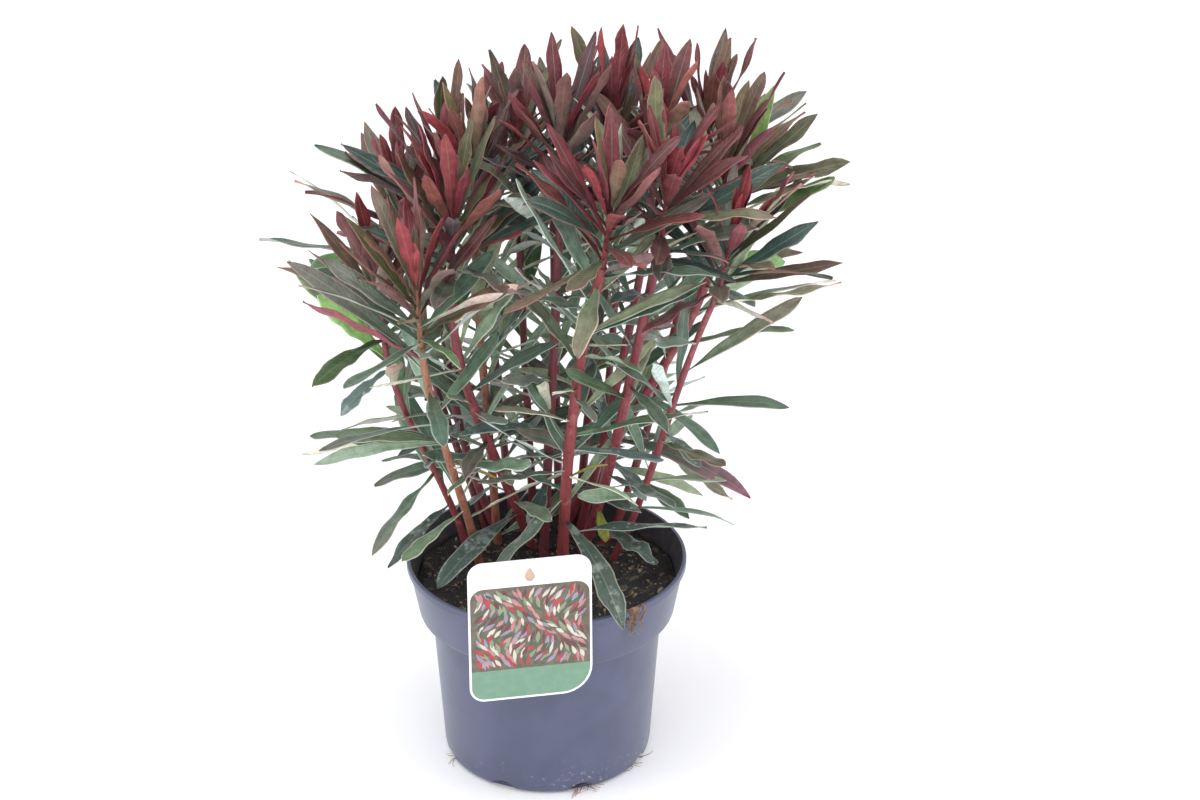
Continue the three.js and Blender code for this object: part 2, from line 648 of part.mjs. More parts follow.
/** The soil with a plain hole for each stem and for the peg. */
function planted(pegRoute) {
  const pegHole = pegRoute.points.map((point) => point.clone());
  pegHole[0].z -= STEM.holeDeeper;
  const holes = STEMS.map((stem) =>
    bar(stemCurve(stem, STEM.holeDeeper), stem.radius + STEM.holeGap, 1, STEM.sides, STEM.steps),
  );
  holes.push(bar(new THREE.CatmullRomCurve3(pegHole), PEG.radius + STEM.holeGap, 1, PEG.sides, PEG.steps));
  return holes.reduce((earth, hole) => earth.subtract(solid(hole)), soil());
}

const group = new THREE.Group();
const stand = peg();
group.add(piece("pot", geometryOf(pot()), COLOURS.pot));
group.add(piece("soil", geometryOf(planted(stand.route)), COLOURS.soil));
group.add(piece("label_card", geometryOf(label()), COLOURS.card));
group.add(piece("label_peg", geometryOf(stand.body), COLOURS.peg));
for (const { stemName, headName, stemSolid, headSolid } of plant()) {
  group.add(piece(stemName, geometryOf(stemSolid), COLOURS.stem));
  group.add(piece(headName, geometryOf(headSolid), COLOURS.crown));
}

export default group;
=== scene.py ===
"""A red-leaved euphorbia in a nursery pot: the visible pieces, their finishes, the studio and the camera.

Plant sizes are millimetres in this file and become metres when a mesh is finished.
"""

from __future__ import annotations

import logging
import math
import random
from collections.abc import Callable, Iterable, Iterator, Sequence
from dataclasses import dataclass, field, fields, replace
from enum import Enum
from functools import cached_property, partial

import bmesh
import bpy
import numpy as np
from mathutils import Matrix, Vector, noise

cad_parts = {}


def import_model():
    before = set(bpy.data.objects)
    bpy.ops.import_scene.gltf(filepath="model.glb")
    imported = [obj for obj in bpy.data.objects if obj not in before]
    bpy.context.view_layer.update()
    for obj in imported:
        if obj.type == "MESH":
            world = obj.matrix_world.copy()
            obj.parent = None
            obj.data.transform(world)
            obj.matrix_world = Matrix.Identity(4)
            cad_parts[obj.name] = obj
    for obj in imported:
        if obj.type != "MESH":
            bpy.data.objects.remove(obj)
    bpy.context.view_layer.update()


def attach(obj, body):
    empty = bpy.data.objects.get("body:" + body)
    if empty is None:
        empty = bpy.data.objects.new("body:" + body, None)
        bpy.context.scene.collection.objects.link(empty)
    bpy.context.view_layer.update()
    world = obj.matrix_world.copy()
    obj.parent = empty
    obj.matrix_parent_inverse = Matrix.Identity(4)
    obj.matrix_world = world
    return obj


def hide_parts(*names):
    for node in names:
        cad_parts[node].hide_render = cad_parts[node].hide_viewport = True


log = logging.getLogger("euphorbia")

MM = 0.001
GOLDEN_ANGLE = 137.508
BODY = "root"
UP = np.array([0.0, 0.0, 1.0])

Array = np.ndarray
Pair = tuple[float, float]
Triple = tuple[float, float, float]
Mesh = bmesh.types.BMesh
Vert = bmesh.types.BMVert
Edge = bmesh.types.BMEdge
Face = bmesh.types.BMFace
Piece = bpy.types.Object
Material = bpy.types.Material
Node = bpy.types.Node
Socket = bpy.types.NodeSocket
Inputs = dict[str, object]
Adder = Callable[..., Node]


# ---- Colours and nodes ----


def linear(colour: str) -> tuple[float, float, float, float]:
    """Turns an sRGB hex colour into linear light.

    Args:
        colour: The colour as "#RRGGBB".

    Returns:
        Linear red, green, blue and an alpha of 1.
    """
    channels = [int(colour[i : i + 2], 16) / 255 for i in (1, 3, 5)]
    light = [c / 12.92 if c <= 0.04045 else ((c + 0.055) / 1.055) ** 2.4 for c in channels]
    return (light[0], light[1], light[2], 1.0)


def add_node(
    tree: bpy.types.NodeTree, kind: str, inputs: Inputs | Sequence[object] = (), **settings: object
) -> Node:
    """Adds a node with its settings and fills or links its inputs.

    Args:
        tree: The node tree.
        kind: The node's type, without the word ShaderNode in front.
        inputs: By name, or in the order shown, a value, an output, or a node whose first output is meant.
        **settings: The node's own properties.

    Returns:
        The new node.
    """
    node = tree.nodes.new(f"ShaderNode{kind}")
    for name, value in settings.items():
        setattr(node, name, value)
    if isinstance(inputs, dict):
        pairs = [(node.inputs[name], value) for name, value in inputs.items()]
    else:
        pairs = list(zip([socket for socket in node.inputs if socket.enabled], inputs))
    for target, value in pairs:
        if isinstance(value, Node):
            value = next(socket for socket in value.outputs if socket.enabled)
        if isinstance(value, Socket):
            tree.links.new(value, target)
        else:
            target.default_value = value
    return node


# Settings that many nodes share.
SMOOTH = {"interpolation_type": "SMOOTHSTEP"}
COLOURS = {"data_type": "RGBA"}


@dataclass(frozen=True)
class Cloud:
    """A cloudy pattern: the size of its features in millimetres, its finer octaves and their strength."""

    size: float
    octaves: float = 3
    strength: float = 0.55

    def over(self, place: Socket) -> Inputs:
        """What a noise node takes to show it over a place in metres."""
        scale = 1 / (self.size * MM)
        return {"Vector": place, "Scale": scale, "Detail": self.octaves, "Roughness": self.strength}


# ---- Finishes ----


@dataclass(frozen=True)
class Finish:
    """A material of one principled shader, with its patterns on the Object coordinates."""

    name: str

    def build(self) -> Material:
        """Makes the material."""
        material = bpy.data.materials.new(self.name)
        material.use_nodes = True
        material.node_tree.nodes.clear()
        node = partial(add_node, material.node_tree)
        place = node("TexCoord").outputs["Object"]
        node("OutputMaterial", (self.shader(node, place),))
        return material

    def shader(self, node: Adder, place: Socket) -> Node:
        """The surface's shader."""
        return node("BsdfPrincipled", self.inputs(node, place))

    def inputs(self, node: Adder, place: Socket) -> Inputs:
        """What the principled shader takes.

        Args:
            node: Adds a node to the material.
            place: The Object coordinates, in metres in the part's frame.

        Returns:
            Its inputs by name.
        """
        raise NotImplementedError


@dataclass(frozen=True)
class PotPlastic(Finish):
    """Injection-moulded recycled polypropylene: a satin blue-grey with a soft sheen at the edges, faint
    flow clouds, and pale dust and scuffs low on the wall."""

    name: str = "moulded polypropylene, blue-grey"
    colour: str = "#464B64"
    cloud_colour: str = "#4D526D"
    dust: str = "#BCBABE"
    dust_height: float = 34
    dust_share: float = 0.75
    flow: Cloud = Cloud(34, 2)
    scuffs: Cloud = Cloud(3.2, 8, 0.72)
    patches: Cloud = Cloud(26, 1)
    grain: Cloud = Cloud(0.9, 2)

    def inputs(self, node: Adder, place: Socket) -> Inputs:
        """What the principled shader takes.

        Args:
            node: Adds a node to the material.
            place: The Object coordinates, in metres.

        Returns:
            Its inputs by name.
        """
        flow = node("TexNoise", self.flow.over(place))
        clouds = node("MapRange", (flow, 0.35, 0.7), **SMOOTH)
        body = node("Mix", (clouds, linear(self.colour), linear(self.cloud_colour)), **COLOURS)
        height = node("SeparateXYZ", (place,)).outputs["Z"]
        low = node("MapRange", (height, 0.0, self.dust_height * MM, 1.0, 0.0), **SMOOTH)
        specks = node("MapRange", (node("TexNoise", self.scuffs.over(place)), 0.54, 0.66), **SMOOTH)
        patches = node("MapRange", (node("TexNoise", self.patches.over(place)), 0.44, 0.6), **SMOOTH)
        low_specks = node("Math", (specks, low), operation="MULTIPLY")
        dusty = node("Math", (low_specks, patches), operation="MULTIPLY")
        dust = node("Math", (dusty, self.dust_share), operation="MULTIPLY")
        wavy = node("Bump", {"Height": flow, "Distance": 0.35 * MM})
        grain = node("TexNoise", self.grain.over(place))
        return {
            "Base Color": node("Mix", (dust, body, linear(self.dust)), **COLOURS),
            "Roughness": node("Math", (dusty, 0.3, 0.38), operation="MULTIPLY_ADD"),
            "IOR": 1.49,
            "Coat Weight": 0.28,
            "Coat Roughness": 0.25,
            "Normal": node("Bump", {"Height": grain, "Distance": 0.02 * MM, "Normal": wavy}),
        }


@dataclass(frozen=True)
class TwoTone(Finish):
    """A stuff in two near tones: which tone in clouds of a real size, over a fine relief."""

    first: str
    second: str
    roughness: float
    ior: float
    clouds: Cloud
    edge: Pair
    relief: Cloud
    depth: float

    def inputs(self, node: Adder, place: Socket) -> Inputs:
        """What the principled shader takes.

        Args:
            node: Adds a node to the material.
            place: The Object coordinates, in metres.

        Returns:
            Its inputs by name.
        """
        share = node("MapRange", (node("TexNoise", self.clouds.over(place)), *self.edge), **SMOOTH)
        relief = node("TexNoise", self.relief.over(place))
        return {
            "Base Color": node("Mix", (share, linear(self.first), linear(self.second)), **COLOURS),
            "Roughness": self.roughness,
            "IOR": self.ior,
            "Normal": node("Bump", {"Height": relief, "Distance": self.depth * MM}),
        }


def shade_painted_plastic() -> TwoTone:
    """The moulded polypropylene inside the pot, dulled by wet compost; its own dull grey-brown colour is
    painted shade for the inside of the pot.
    """
    blotch = Cloud(7, 6)
    name = "moulded polypropylene, painted-shade grey"
    return TwoTone(name, "#4B4B55", "#5C5854", 0.6, 1.49, blotch, (0.45, 0.68), blotch, 0.15)


def dry_fibre(name: str, pale: str, dark: str, grain: float = 3) -> TwoTone:
    """Dry coir, bark strips and dead roots: matt straw and rust browns, each strand its own tone."""
    return TwoTone(name, dark, pale, 0.85, 1.5, Cloud(grain, 4), (0.35, 0.65), Cloud(0.5), 0.08)


def card_ink(name: str, colour: str, mottle: str, roughness: float = 0.34) -> TwoTone:
    """Printed polystyrene sheet: smooth and half glossy, the ink flat with a very faint mottle."""
    return TwoTone(name, colour, mottle, roughness, 1.55, Cloud(5, 4), (0.35, 0.7), Cloud(14, 1), 0.06)


@dataclass(frozen=True)
class MoistCompost(Finish):
    """Peat and bark compost, moist and loose: nearly black crumbs with brown lights and damp glints."""

    name: str = "moist peat compost"
    dark: str = "#28272A"
    crumb: str = "#403C3D"
    bark: str = "#655C4E"
    chip_size: float = 3.4
    crumbs: Cloud = Cloud(2.6, 8, 0.7)
    relief: float = 0.9

    def inputs(self, node: Adder, place: Socket) -> Inputs:
        """What the principled shader takes.

        Args:
            node: Adds a node to the material.
            place: The Object coordinates, in metres.

        Returns:
            Its inputs by name.
        """
        crumbs = node("TexNoise", self.crumbs.over(place))
        chips = node("TexVoronoi", {"Vector": place, "Scale": 1 / (self.chip_size * MM)})
        share = node("MapRange", (crumbs, 0.38, 0.64), **SMOOTH)
        earth = node("Mix", (share, linear(self.dark), linear(self.crumb)), **COLOURS)
        bright = node("SeparateColor", (chips.outputs["Color"],))
        barky = node("MapRange", (bright, 0.86, 0.93, 0.0, 0.8), **SMOOTH)
        coarse = node("Bump", {"Height": chips, "Distance": self.relief * MM})
        return {
            "Base Color": node("Mix", (barky, earth, linear(self.bark)), **COLOURS),
            "Roughness": node("MapRange", (crumbs, 0.3, 0.6, 0.62, 0.95), **SMOOTH),
            "IOR": 1.4,
            "Normal": node("Bump", {"Height": crumbs, "Distance": self.relief * MM, "Normal": coarse}),
        }


@dataclass(frozen=True)
class StemBark(Finish):
    """The waxy skin of a young woody stem: crimson with fine lengthwise streaks and dark, sunken leaf scars.

    Each stem's own tone comes from its bark_tint attribute.
    """

    name: str = "waxy red stem skin"
    streak: str = "#5E2A2A"
    bloom: str = "#C08C80"
    scar_size: float = 9
    streaks: Cloud = Cloud(1.3, 5)
    patches: Cloud = Cloud(9, 2)
    stretch: float = 0.12
    relief: float = 0.3

    def inputs(self, node: Adder, place: Socket) -> Inputs:
        """What the principled shader takes.

        Args:
            node: Adds a node to the material.
            place: The Object coordinates, in metres.

        Returns:
            Its inputs by name.
        """
        tint = node("Attribute", attribute_name="bark_tint")
        stretched = node("Mapping", {"Vector": place, "Scale": (1, 1, self.stretch)}).outputs[0]
        streaks = node("TexNoise", self.streaks.over(stretched))
        streaked = node("MapRange", (streaks, 0.42, 0.72, 0.0, 0.6), **SMOOTH)
        skin = node("Mix", (streaked, tint, linear(self.streak)), **COLOURS)
        patches = node("TexNoise", self.patches.over(place))
        misty = node("MapRange", (patches, 0.58, 0.78, 0.0, 0.35), **SMOOTH)
        bloomed = node("Mix", (misty, skin, linear(self.bloom)), **COLOURS)
        cells = node("TexVoronoi", {"Vector": place, "Scale": 1 / (self.scar_size * MM)})
        scars = node("MapRange", (cells, 0.1, 0.2, 0.55, 0.0), **SMOOTH)
        sunk = node("Bump", {"Height": scars, "Distance": -self.relief * MM})
        return {
            "Base Color": node("Mix", (scars, bloomed, linear(self.streak)), **COLOURS),
            "Roughness": 0.42,
            "IOR": 1.45,
            "Normal": node("Bump", {"Height": streaks, "Distance": self.relief * MM, "Normal": sunk}),
        }


@dataclass(frozen=True)
class LeafSkin(Finish):
    """One side of a leathery leaf: its own tint along the blade, a midrib, side veins, a pale margin, a soft
    mottle and, on old leaves, chalky dried water drops. Light comes through it a little."""

    tint: str
    rib: str
    rib_share: float
    margin_share: float
    roughness: float
    through: float
    vein_depth: float
    veins: float = 17
    vein_slant: float = -0.13
    drop_size: float = 5.2
    chalk: str = "#B9C2BE"
    mottle: Cloud = Cloud(7, 5, 0.6)
    film: Cloud = Cloud(12)
    smear: Cloud = Cloud(15, 6, 0.62)
    grain: Cloud = Cloud(1.1)

    def shader(self, node: Adder, place: Socket) -> Node:
        """The waxy surface, mixed with the light that comes through the blade.

        Args:
            node: Adds a node to the material.
            place: The Object coordinates, in metres.

        Returns:
            The mixed shader.
        """
        flat = node("SeparateXYZ", (node("UVMap", uv_map="blade"),)).outputs
        off = node("Math", (flat["Y"], 0.5), operation="SUBTRACT")
        aside = node("Math", (node("Math", (off,), operation="ABSOLUTE"), 2), operation="MULTIPLY")
        chalky = self._chalk(node, place)
        colour = node("Mix", (chalky, self._blade(node, place, aside), linear(self.chalk)), **COLOURS)
        slanted = node("Math", (aside, self.vein_slant, flat["X"]), operation="MULTIPLY_ADD")
        turns = node("Math", (slanted, self.veins * 2 * math.pi), operation="MULTIPLY")
        wave = node("Math", (turns,), operation="SINE")
        veined = node("Bump", {"Height": wave, "Distance": self.vein_depth * MM})
        grain = node("TexNoise", self.grain.over(place))
        surface = node(
            "BsdfPrincipled",
            {
                "Base Color": colour,
                "Roughness": node("Math", (chalky, 0.3, self.roughness), operation="MULTIPLY_ADD"),
                "IOR": 1.48,
                "Sheen Weight": 0.05,
                "Sheen Roughness": 0.4,
                "Sheen Tint": linear("#C8D4E4"),
                "Normal": node("Bump", {"Height": grain, "Distance": 0.1 * MM, "Normal": veined}),
            },
        )
        glow = node("BsdfTranslucent", {"Color": colour})
        return node("MixShader", (self.through, surface, glow))

    def _blade(self, node: Adder, place: Socket, aside: Node) -> Node:
        """The blade's colour: the leaf's tint, mottled, with its rib and its margin.

        Args:
            node: Adds a node to the material.
            place: The Object coordinates.
            aside: From 0 on the rib to 1 at the margin.

        Returns:
            The colour.
        """
        tint = node("Attribute", attribute_name=self.tint)
        margin = node("Attribute", attribute_name="under_tint")
        mottle = node("TexNoise", self.mottle.over(place))
        shade = node("MapRange", (mottle, 0.3, 0.72, 0.74, 1.2), **SMOOTH)
        toned = node("VectorMath", (tint, shade), operation="SCALE")
        rib = node("MapRange", (aside, 0.02, 0.09, self.rib_share, 0.0), **SMOOTH)
        edge = node("MapRange", (aside, 0.86, 0.96, 0.0, self.margin_share), **SMOOTH)
        ribbed = node("Mix", (rib, toned, linear(self.rib)), **COLOURS)
        return node("Mix", (edge, ribbed, margin), **COLOURS)

    def _chalk(self, node: Adder, place: Socket) -> Node:
        """The share of chalk that dried drops and smears left, by the leaf's own "drops" attribute.

        Args:
            node: Adds a node to the material.
            place: The Object coordinates, in metres.

        Returns:
            The share, from 0 to 1.
        """
        drops = node("Attribute", attribute_name="drops").outputs["Fac"]
        spots = node("TexVoronoi", {"Vector": place, "Scale": 1 / (self.drop_size * MM)})
        disc = node("MapRange", (spots, 0.16, 0.34, 1.0, 0.0), **SMOOTH)
        film = node("MapRange", (node("TexNoise", self.film.over(place)), 0.44, 0.62), **SMOOTH)
        dried = node("Math", (disc, film), operation="MULTIPLY")
        marks = node("Math", (node("Math", (dried, drops), operation="MULTIPLY"), 0.8), operation="MULTIPLY")
        clouds = node("TexNoise", self.smear.over(place))
        smear = node("MapRange", (clouds, 0.53, 0.62, 0.06, 0.5), **SMOOTH)
        haze = node("Math", (smear, drops), operation="MULTIPLY")
        return node("Math", (marks, haze), operation="MAXIMUM")


@dataclass(frozen=True)
class StudioFloor(Finish):
    """A matt white opal acrylic table top, lit faintly from below, so that shadows on it stay pale."""

    name: str = "opal acrylic, back-lit"
    colour: str = "#F6F6F8"
    glow: float = 0.09

    def inputs(self, node: Adder, place: Socket) -> Inputs:
        """What the principled shader takes.

        Args:
            node: Adds a node to the material.
            place: The Object coordinates, in metres.

        Returns:
            Its inputs by name.
        """
        white = linear(self.colour)
        plain = {"Base Color": white, "Roughness": 0.9, "Specular IOR Level": 0.1}
        return plain | {"Emission Color": white, "Emission Strength": self.glow}


# ---- Meshes ----


def in_scene(name: str, bm: Mesh) -> Piece:
    """Turns a bmesh in millimetres into an object in metres.

    Args:
        name: The object's name.
        bm: Its mesh, which is freed.

    Returns:
        The object, at the origin.
    """
    bmesh.ops.scale(bm, vec=Vector((MM, MM, MM)), verts=bm.verts)
    mesh = bpy.data.meshes.new(name)
    bm.to_mesh(mesh)
    bm.free()
    made = bpy.data.objects.new(name, mesh)
    bpy.context.scene.collection.objects.link(made)
    return made


def finished_mesh(
    name: str, bm: Mesh, materials: Iterable[Material], stands_for: str | None = None
) -> Piece:
    """Turns a bmesh in millimetres into a smooth piece that rides on the part.

    Args:
        name: The piece's name.
        bm: Its mesh, which is freed.
        materials: Its materials in order.
        stands_for: The CAD node that it stands for.

    Returns:
        The piece.
    """
    for face in bm.faces:
        face.smooth = True
    made = in_scene(name, bm)
    for material in materials:
        made.data.materials.append(material)
    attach(made, BODY)
    if stands_for:
        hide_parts(stands_for)
    log.info("%s: %d faces", name, len(made.data.polygons))
    return made


def new_verts(grown: dict[str, list]) -> list[Vert]:
    """The vertices among the parts that an operator has made."""
    return [part for part in grown["geom"] if isinstance(part, Vert)]


def faces_of(verts: Iterable[Vert]) -> set[Face]:
    """The faces that touch any of these vertices."""
    return {face for vert in verts if vert.is_valid for face in vert.link_faces}


def add_rod(bm: Mesh, centres: Array, radii: Pair | Array, sides: int) -> list[Vert]:
    """Adds a closed round rod along a path.

    Args:
        bm: The mesh it is added to.
        centres: The path's points.
        radii: The radius at each point, or at the first and the last.
        sides: The number of its sides.

    Returns:
        Its vertices, ring by ring.
    """
    if len(radii) == 2:
        radii = np.linspace(*radii, len(centres))
    heading = np.gradient(centres, axis=0)
    heading /= np.linalg.norm(heading, axis=1, keepdims=True)
    turn = Vector((0, 0, 1)).rotation_difference(Vector(heading[0])).to_matrix().to_4x4()
    place = Matrix.Translation(Vector(centres[0])) @ turn
    ring = bmesh.ops.create_circle(bm, segments=sides, radius=float(radii[0]), matrix=place, cap_ends=True)
    verts = list(ring["verts"])
    edges = list({edge for vert in verts for edge in vert.link_edges})
    every = list(verts)
    for i in range(1, len(centres)):
        grown = bmesh.ops.extrude_edge_only(bm, edges=edges)
        verts = new_verts(grown)
        edges = [part for part in grown["geom"] if isinstance(part, Edge)]
        swing = Vector(heading[i - 1]).rotation_difference(Vector(heading[i])).to_matrix().to_4x4()
        size = Matrix.Scale(float(radii[i] / radii[i - 1]), 4)
        step = Matrix.Translation(Vector(centres[i])) @ swing @ size
        bmesh.ops.transform(bm, matrix=step @ Matrix.Translation(-Vector(centres[i - 1])), verts=verts)
        every.extend(verts)
    bmesh.ops.holes_fill(bm, edges=edges, sides=0)
    return every


def smooth_path(points: Sequence[Sequence[float]] | Array, count: int) -> Array:
    """Points on a smooth curve through a few points.

    Args:
        points: The points that it passes.
        count: How many points are wanted.

    Returns:
        The points, evenly spaced in the curve's own parameter.
    """
    points = np.asarray(points)
    padded = np.vstack([2 * points[0] - points[1], points, 2 * points[-1] - points[-2]])
    places = np.linspace(0, len(points) - 1, count)
    left = np.minimum(places.astype(int), len(points) - 2)
    t = (places - left)[:, None]
    a, b, c, d = (padded[left + i] for i in range(4))
    return 0.5 * (2 * b + (c - a) * t + (2 * a - 5 * b + 4 * c - d) * t**2 + (3 * b - a - 3 * c + d) * t**3)


def cut_away(target: Piece, tool: Piece, sharp: float = 38) -> None:
    """Cuts a tool's shape out of a piece for good and removes the tool.

    Args:
        target: The piece that is cut.
        tool: A closed object.
        sharp: The angle in degrees past which an edge stays sharp.
    """
    cut = target.modifiers.new("cut", "BOOLEAN")
    cut.operation = "DIFFERENCE"
    cut.solver = "EXACT"
    cut.object = tool
    evaluated = target.evaluated_get(bpy.context.evaluated_depsgraph_get())
    whole = bpy.data.meshes.new_from_object(evaluated)
    whole.set_sharp_from_angle(angle=math.radians(sharp))
    target.modifiers.remove(cut)
    target.data = whole
    bpy.data.objects.remove(tool)


# ---- The pot, its filling and its label ----


@dataclass
class NurseryPot:
    """The round pot: a stepped wall with a rolled lip, and drainage notches round its base."""

    height: float = 148
    rim_radius: float = 95
    lip_drop: float = 5.5
    collar_bottom: float = 109
    collar_bottom_radius: float = 86.8
    body_top_radius: float = 78
    base_radius: float = 70.5
    base_round: float = 6
    lip_round: float = 1.1
    wall: float = 1.5
    floor: float = 1.8
    sides: int = 128
    notches: int = 8
    notch_width: float = 20
    notch_height: float = 7
    notch_depth: float = 11
    first_notch: float = -70
    inward_from: float = 0.3
    upward_from: float = 0.5

    def inner_radius(self, z: float) -> float:
        """The radius inside the wall at a height.

        Args:
            z: The height.

        Returns:
            The radius.
        """
        if z < self.collar_bottom:
            share = z / self.collar_bottom
            outer = self.base_radius + share * (self.body_top_radius - self.base_radius)
        else:
            share = (z - self.collar_bottom) / (self.height - self.collar_bottom)
            outer = self.collar_bottom_radius + share * (self.rim_radius - 1 - self.collar_bottom_radius)
        return outer - self.wall

    def profile(self) -> list[Pair]:
        """The wall's section as radius and height, from the middle of the base round to the floor inside."""
        turns = [math.radians(a) for a in range(0, 91, 15)]
        heel, lip = self.base_round, self.lip_round
        foot = [(self.base_radius - heel * (1 - math.sin(a)), heel * (1 - math.cos(a))) for a in turns]
        edge, top = self.rim_radius, self.height
        rim = [(edge - lip * (1 - math.cos(a)), top - lip * (1 - math.sin(a))) for a in turns]
        low = self.collar_bottom
        return [
            (0, 0),
            *foot,
            (self.base_radius + 0.5, self.notch_height + 1.5),
            (self.body_top_radius - 0.3, low - 8),
            (self.body_top_radius, low - 3),
            (self.body_top_radius + 0.9, low - 1.5),
            (self.collar_bottom_radius - 1.4, low - 0.3),
            (self.collar_bottom_radius - 0.3, low + 0.5),
            (self.collar_bottom_radius + 0.3, low + 2.2),
            (edge - 1.9, top - self.lip_drop - 0.3),
            (edge - 1.3, top - self.lip_drop + 0.2),
            (edge, top - self.lip_drop + 1.2),
            *rim,
            (edge - 2.5, top),
            (self.inner_radius(top), top - 1.5),
            (self.inner_radius(low + 2), low + 2),
            (self.inner_radius(low - 0.01), low - 0.6),
            (self.inner_radius(self.base_round), self.base_round),
            (self.base_radius - self.base_round, self.floor),
            (0, self.floor),
        ]

    def build(self, outside: Material, inside: Material) -> None:
        """Makes the pot.

        Args:
            outside: The clean plastic.
            inside: The inside plastic, whose colour is painted shade.
        """
        bm = bmesh.new()
        chain = [bm.verts.new((r, 0, z)) for r, z in self.profile()]
        section = chain + [bm.edges.new(pair) for pair in zip(chain, chain[1:])]
        whole = {"axis": (0, 0, 1), "cent": (0, 0, 0), "angle": 2 * math.pi, "use_merge": True}
        bmesh.ops.spin(bm, geom=section, steps=self.sides, **whole)
        bmesh.ops.remove_doubles(bm, verts=bm.verts, dist=0.01)
        bmesh.ops.recalc_face_normals(bm, faces=bm.faces)
        for face in bm.faces:
            middle = face.calc_center_median()
            inward = face.normal.xy.dot(middle.xy) < -self.inward_from * middle.xy.length
            on_floor = face.normal.z > self.upward_from and middle.z < self.base_round
            # Faces that look inward, and the floor inside, take the plastic whose colour is painted shade.
            face.material_index = int(inward or on_floor)
        cut_away(finished_mesh("pot_shell", bm, (outside, inside), "pot"), self._notch_tool())

    def _notch_tool(self) -> Piece:
        """The shape of all the drainage notches together."""
        bm = bmesh.new()
        radius = self.notch_width / 2
        drum = {"cap_ends": True, "segments": 24, "radius1": radius, "radius2": radius}
        for i in range(self.notches):
            place = (
                Matrix.Rotation(math.radians(self.first_notch + 360 * i / self.notches), 4, "Z")
                @ Matrix.Translation((self.base_radius, 0, 0))
                @ Matrix.Diagonal((1, 1, 2 * self.notch_height / self.notch_width, 1))
                @ Matrix.Rotation(math.pi / 2, 4, "Y")
            )
            bmesh.ops.create_cone(bm, matrix=place, depth=self.notch_depth, **drum)
        return in_scene("notches", bm)


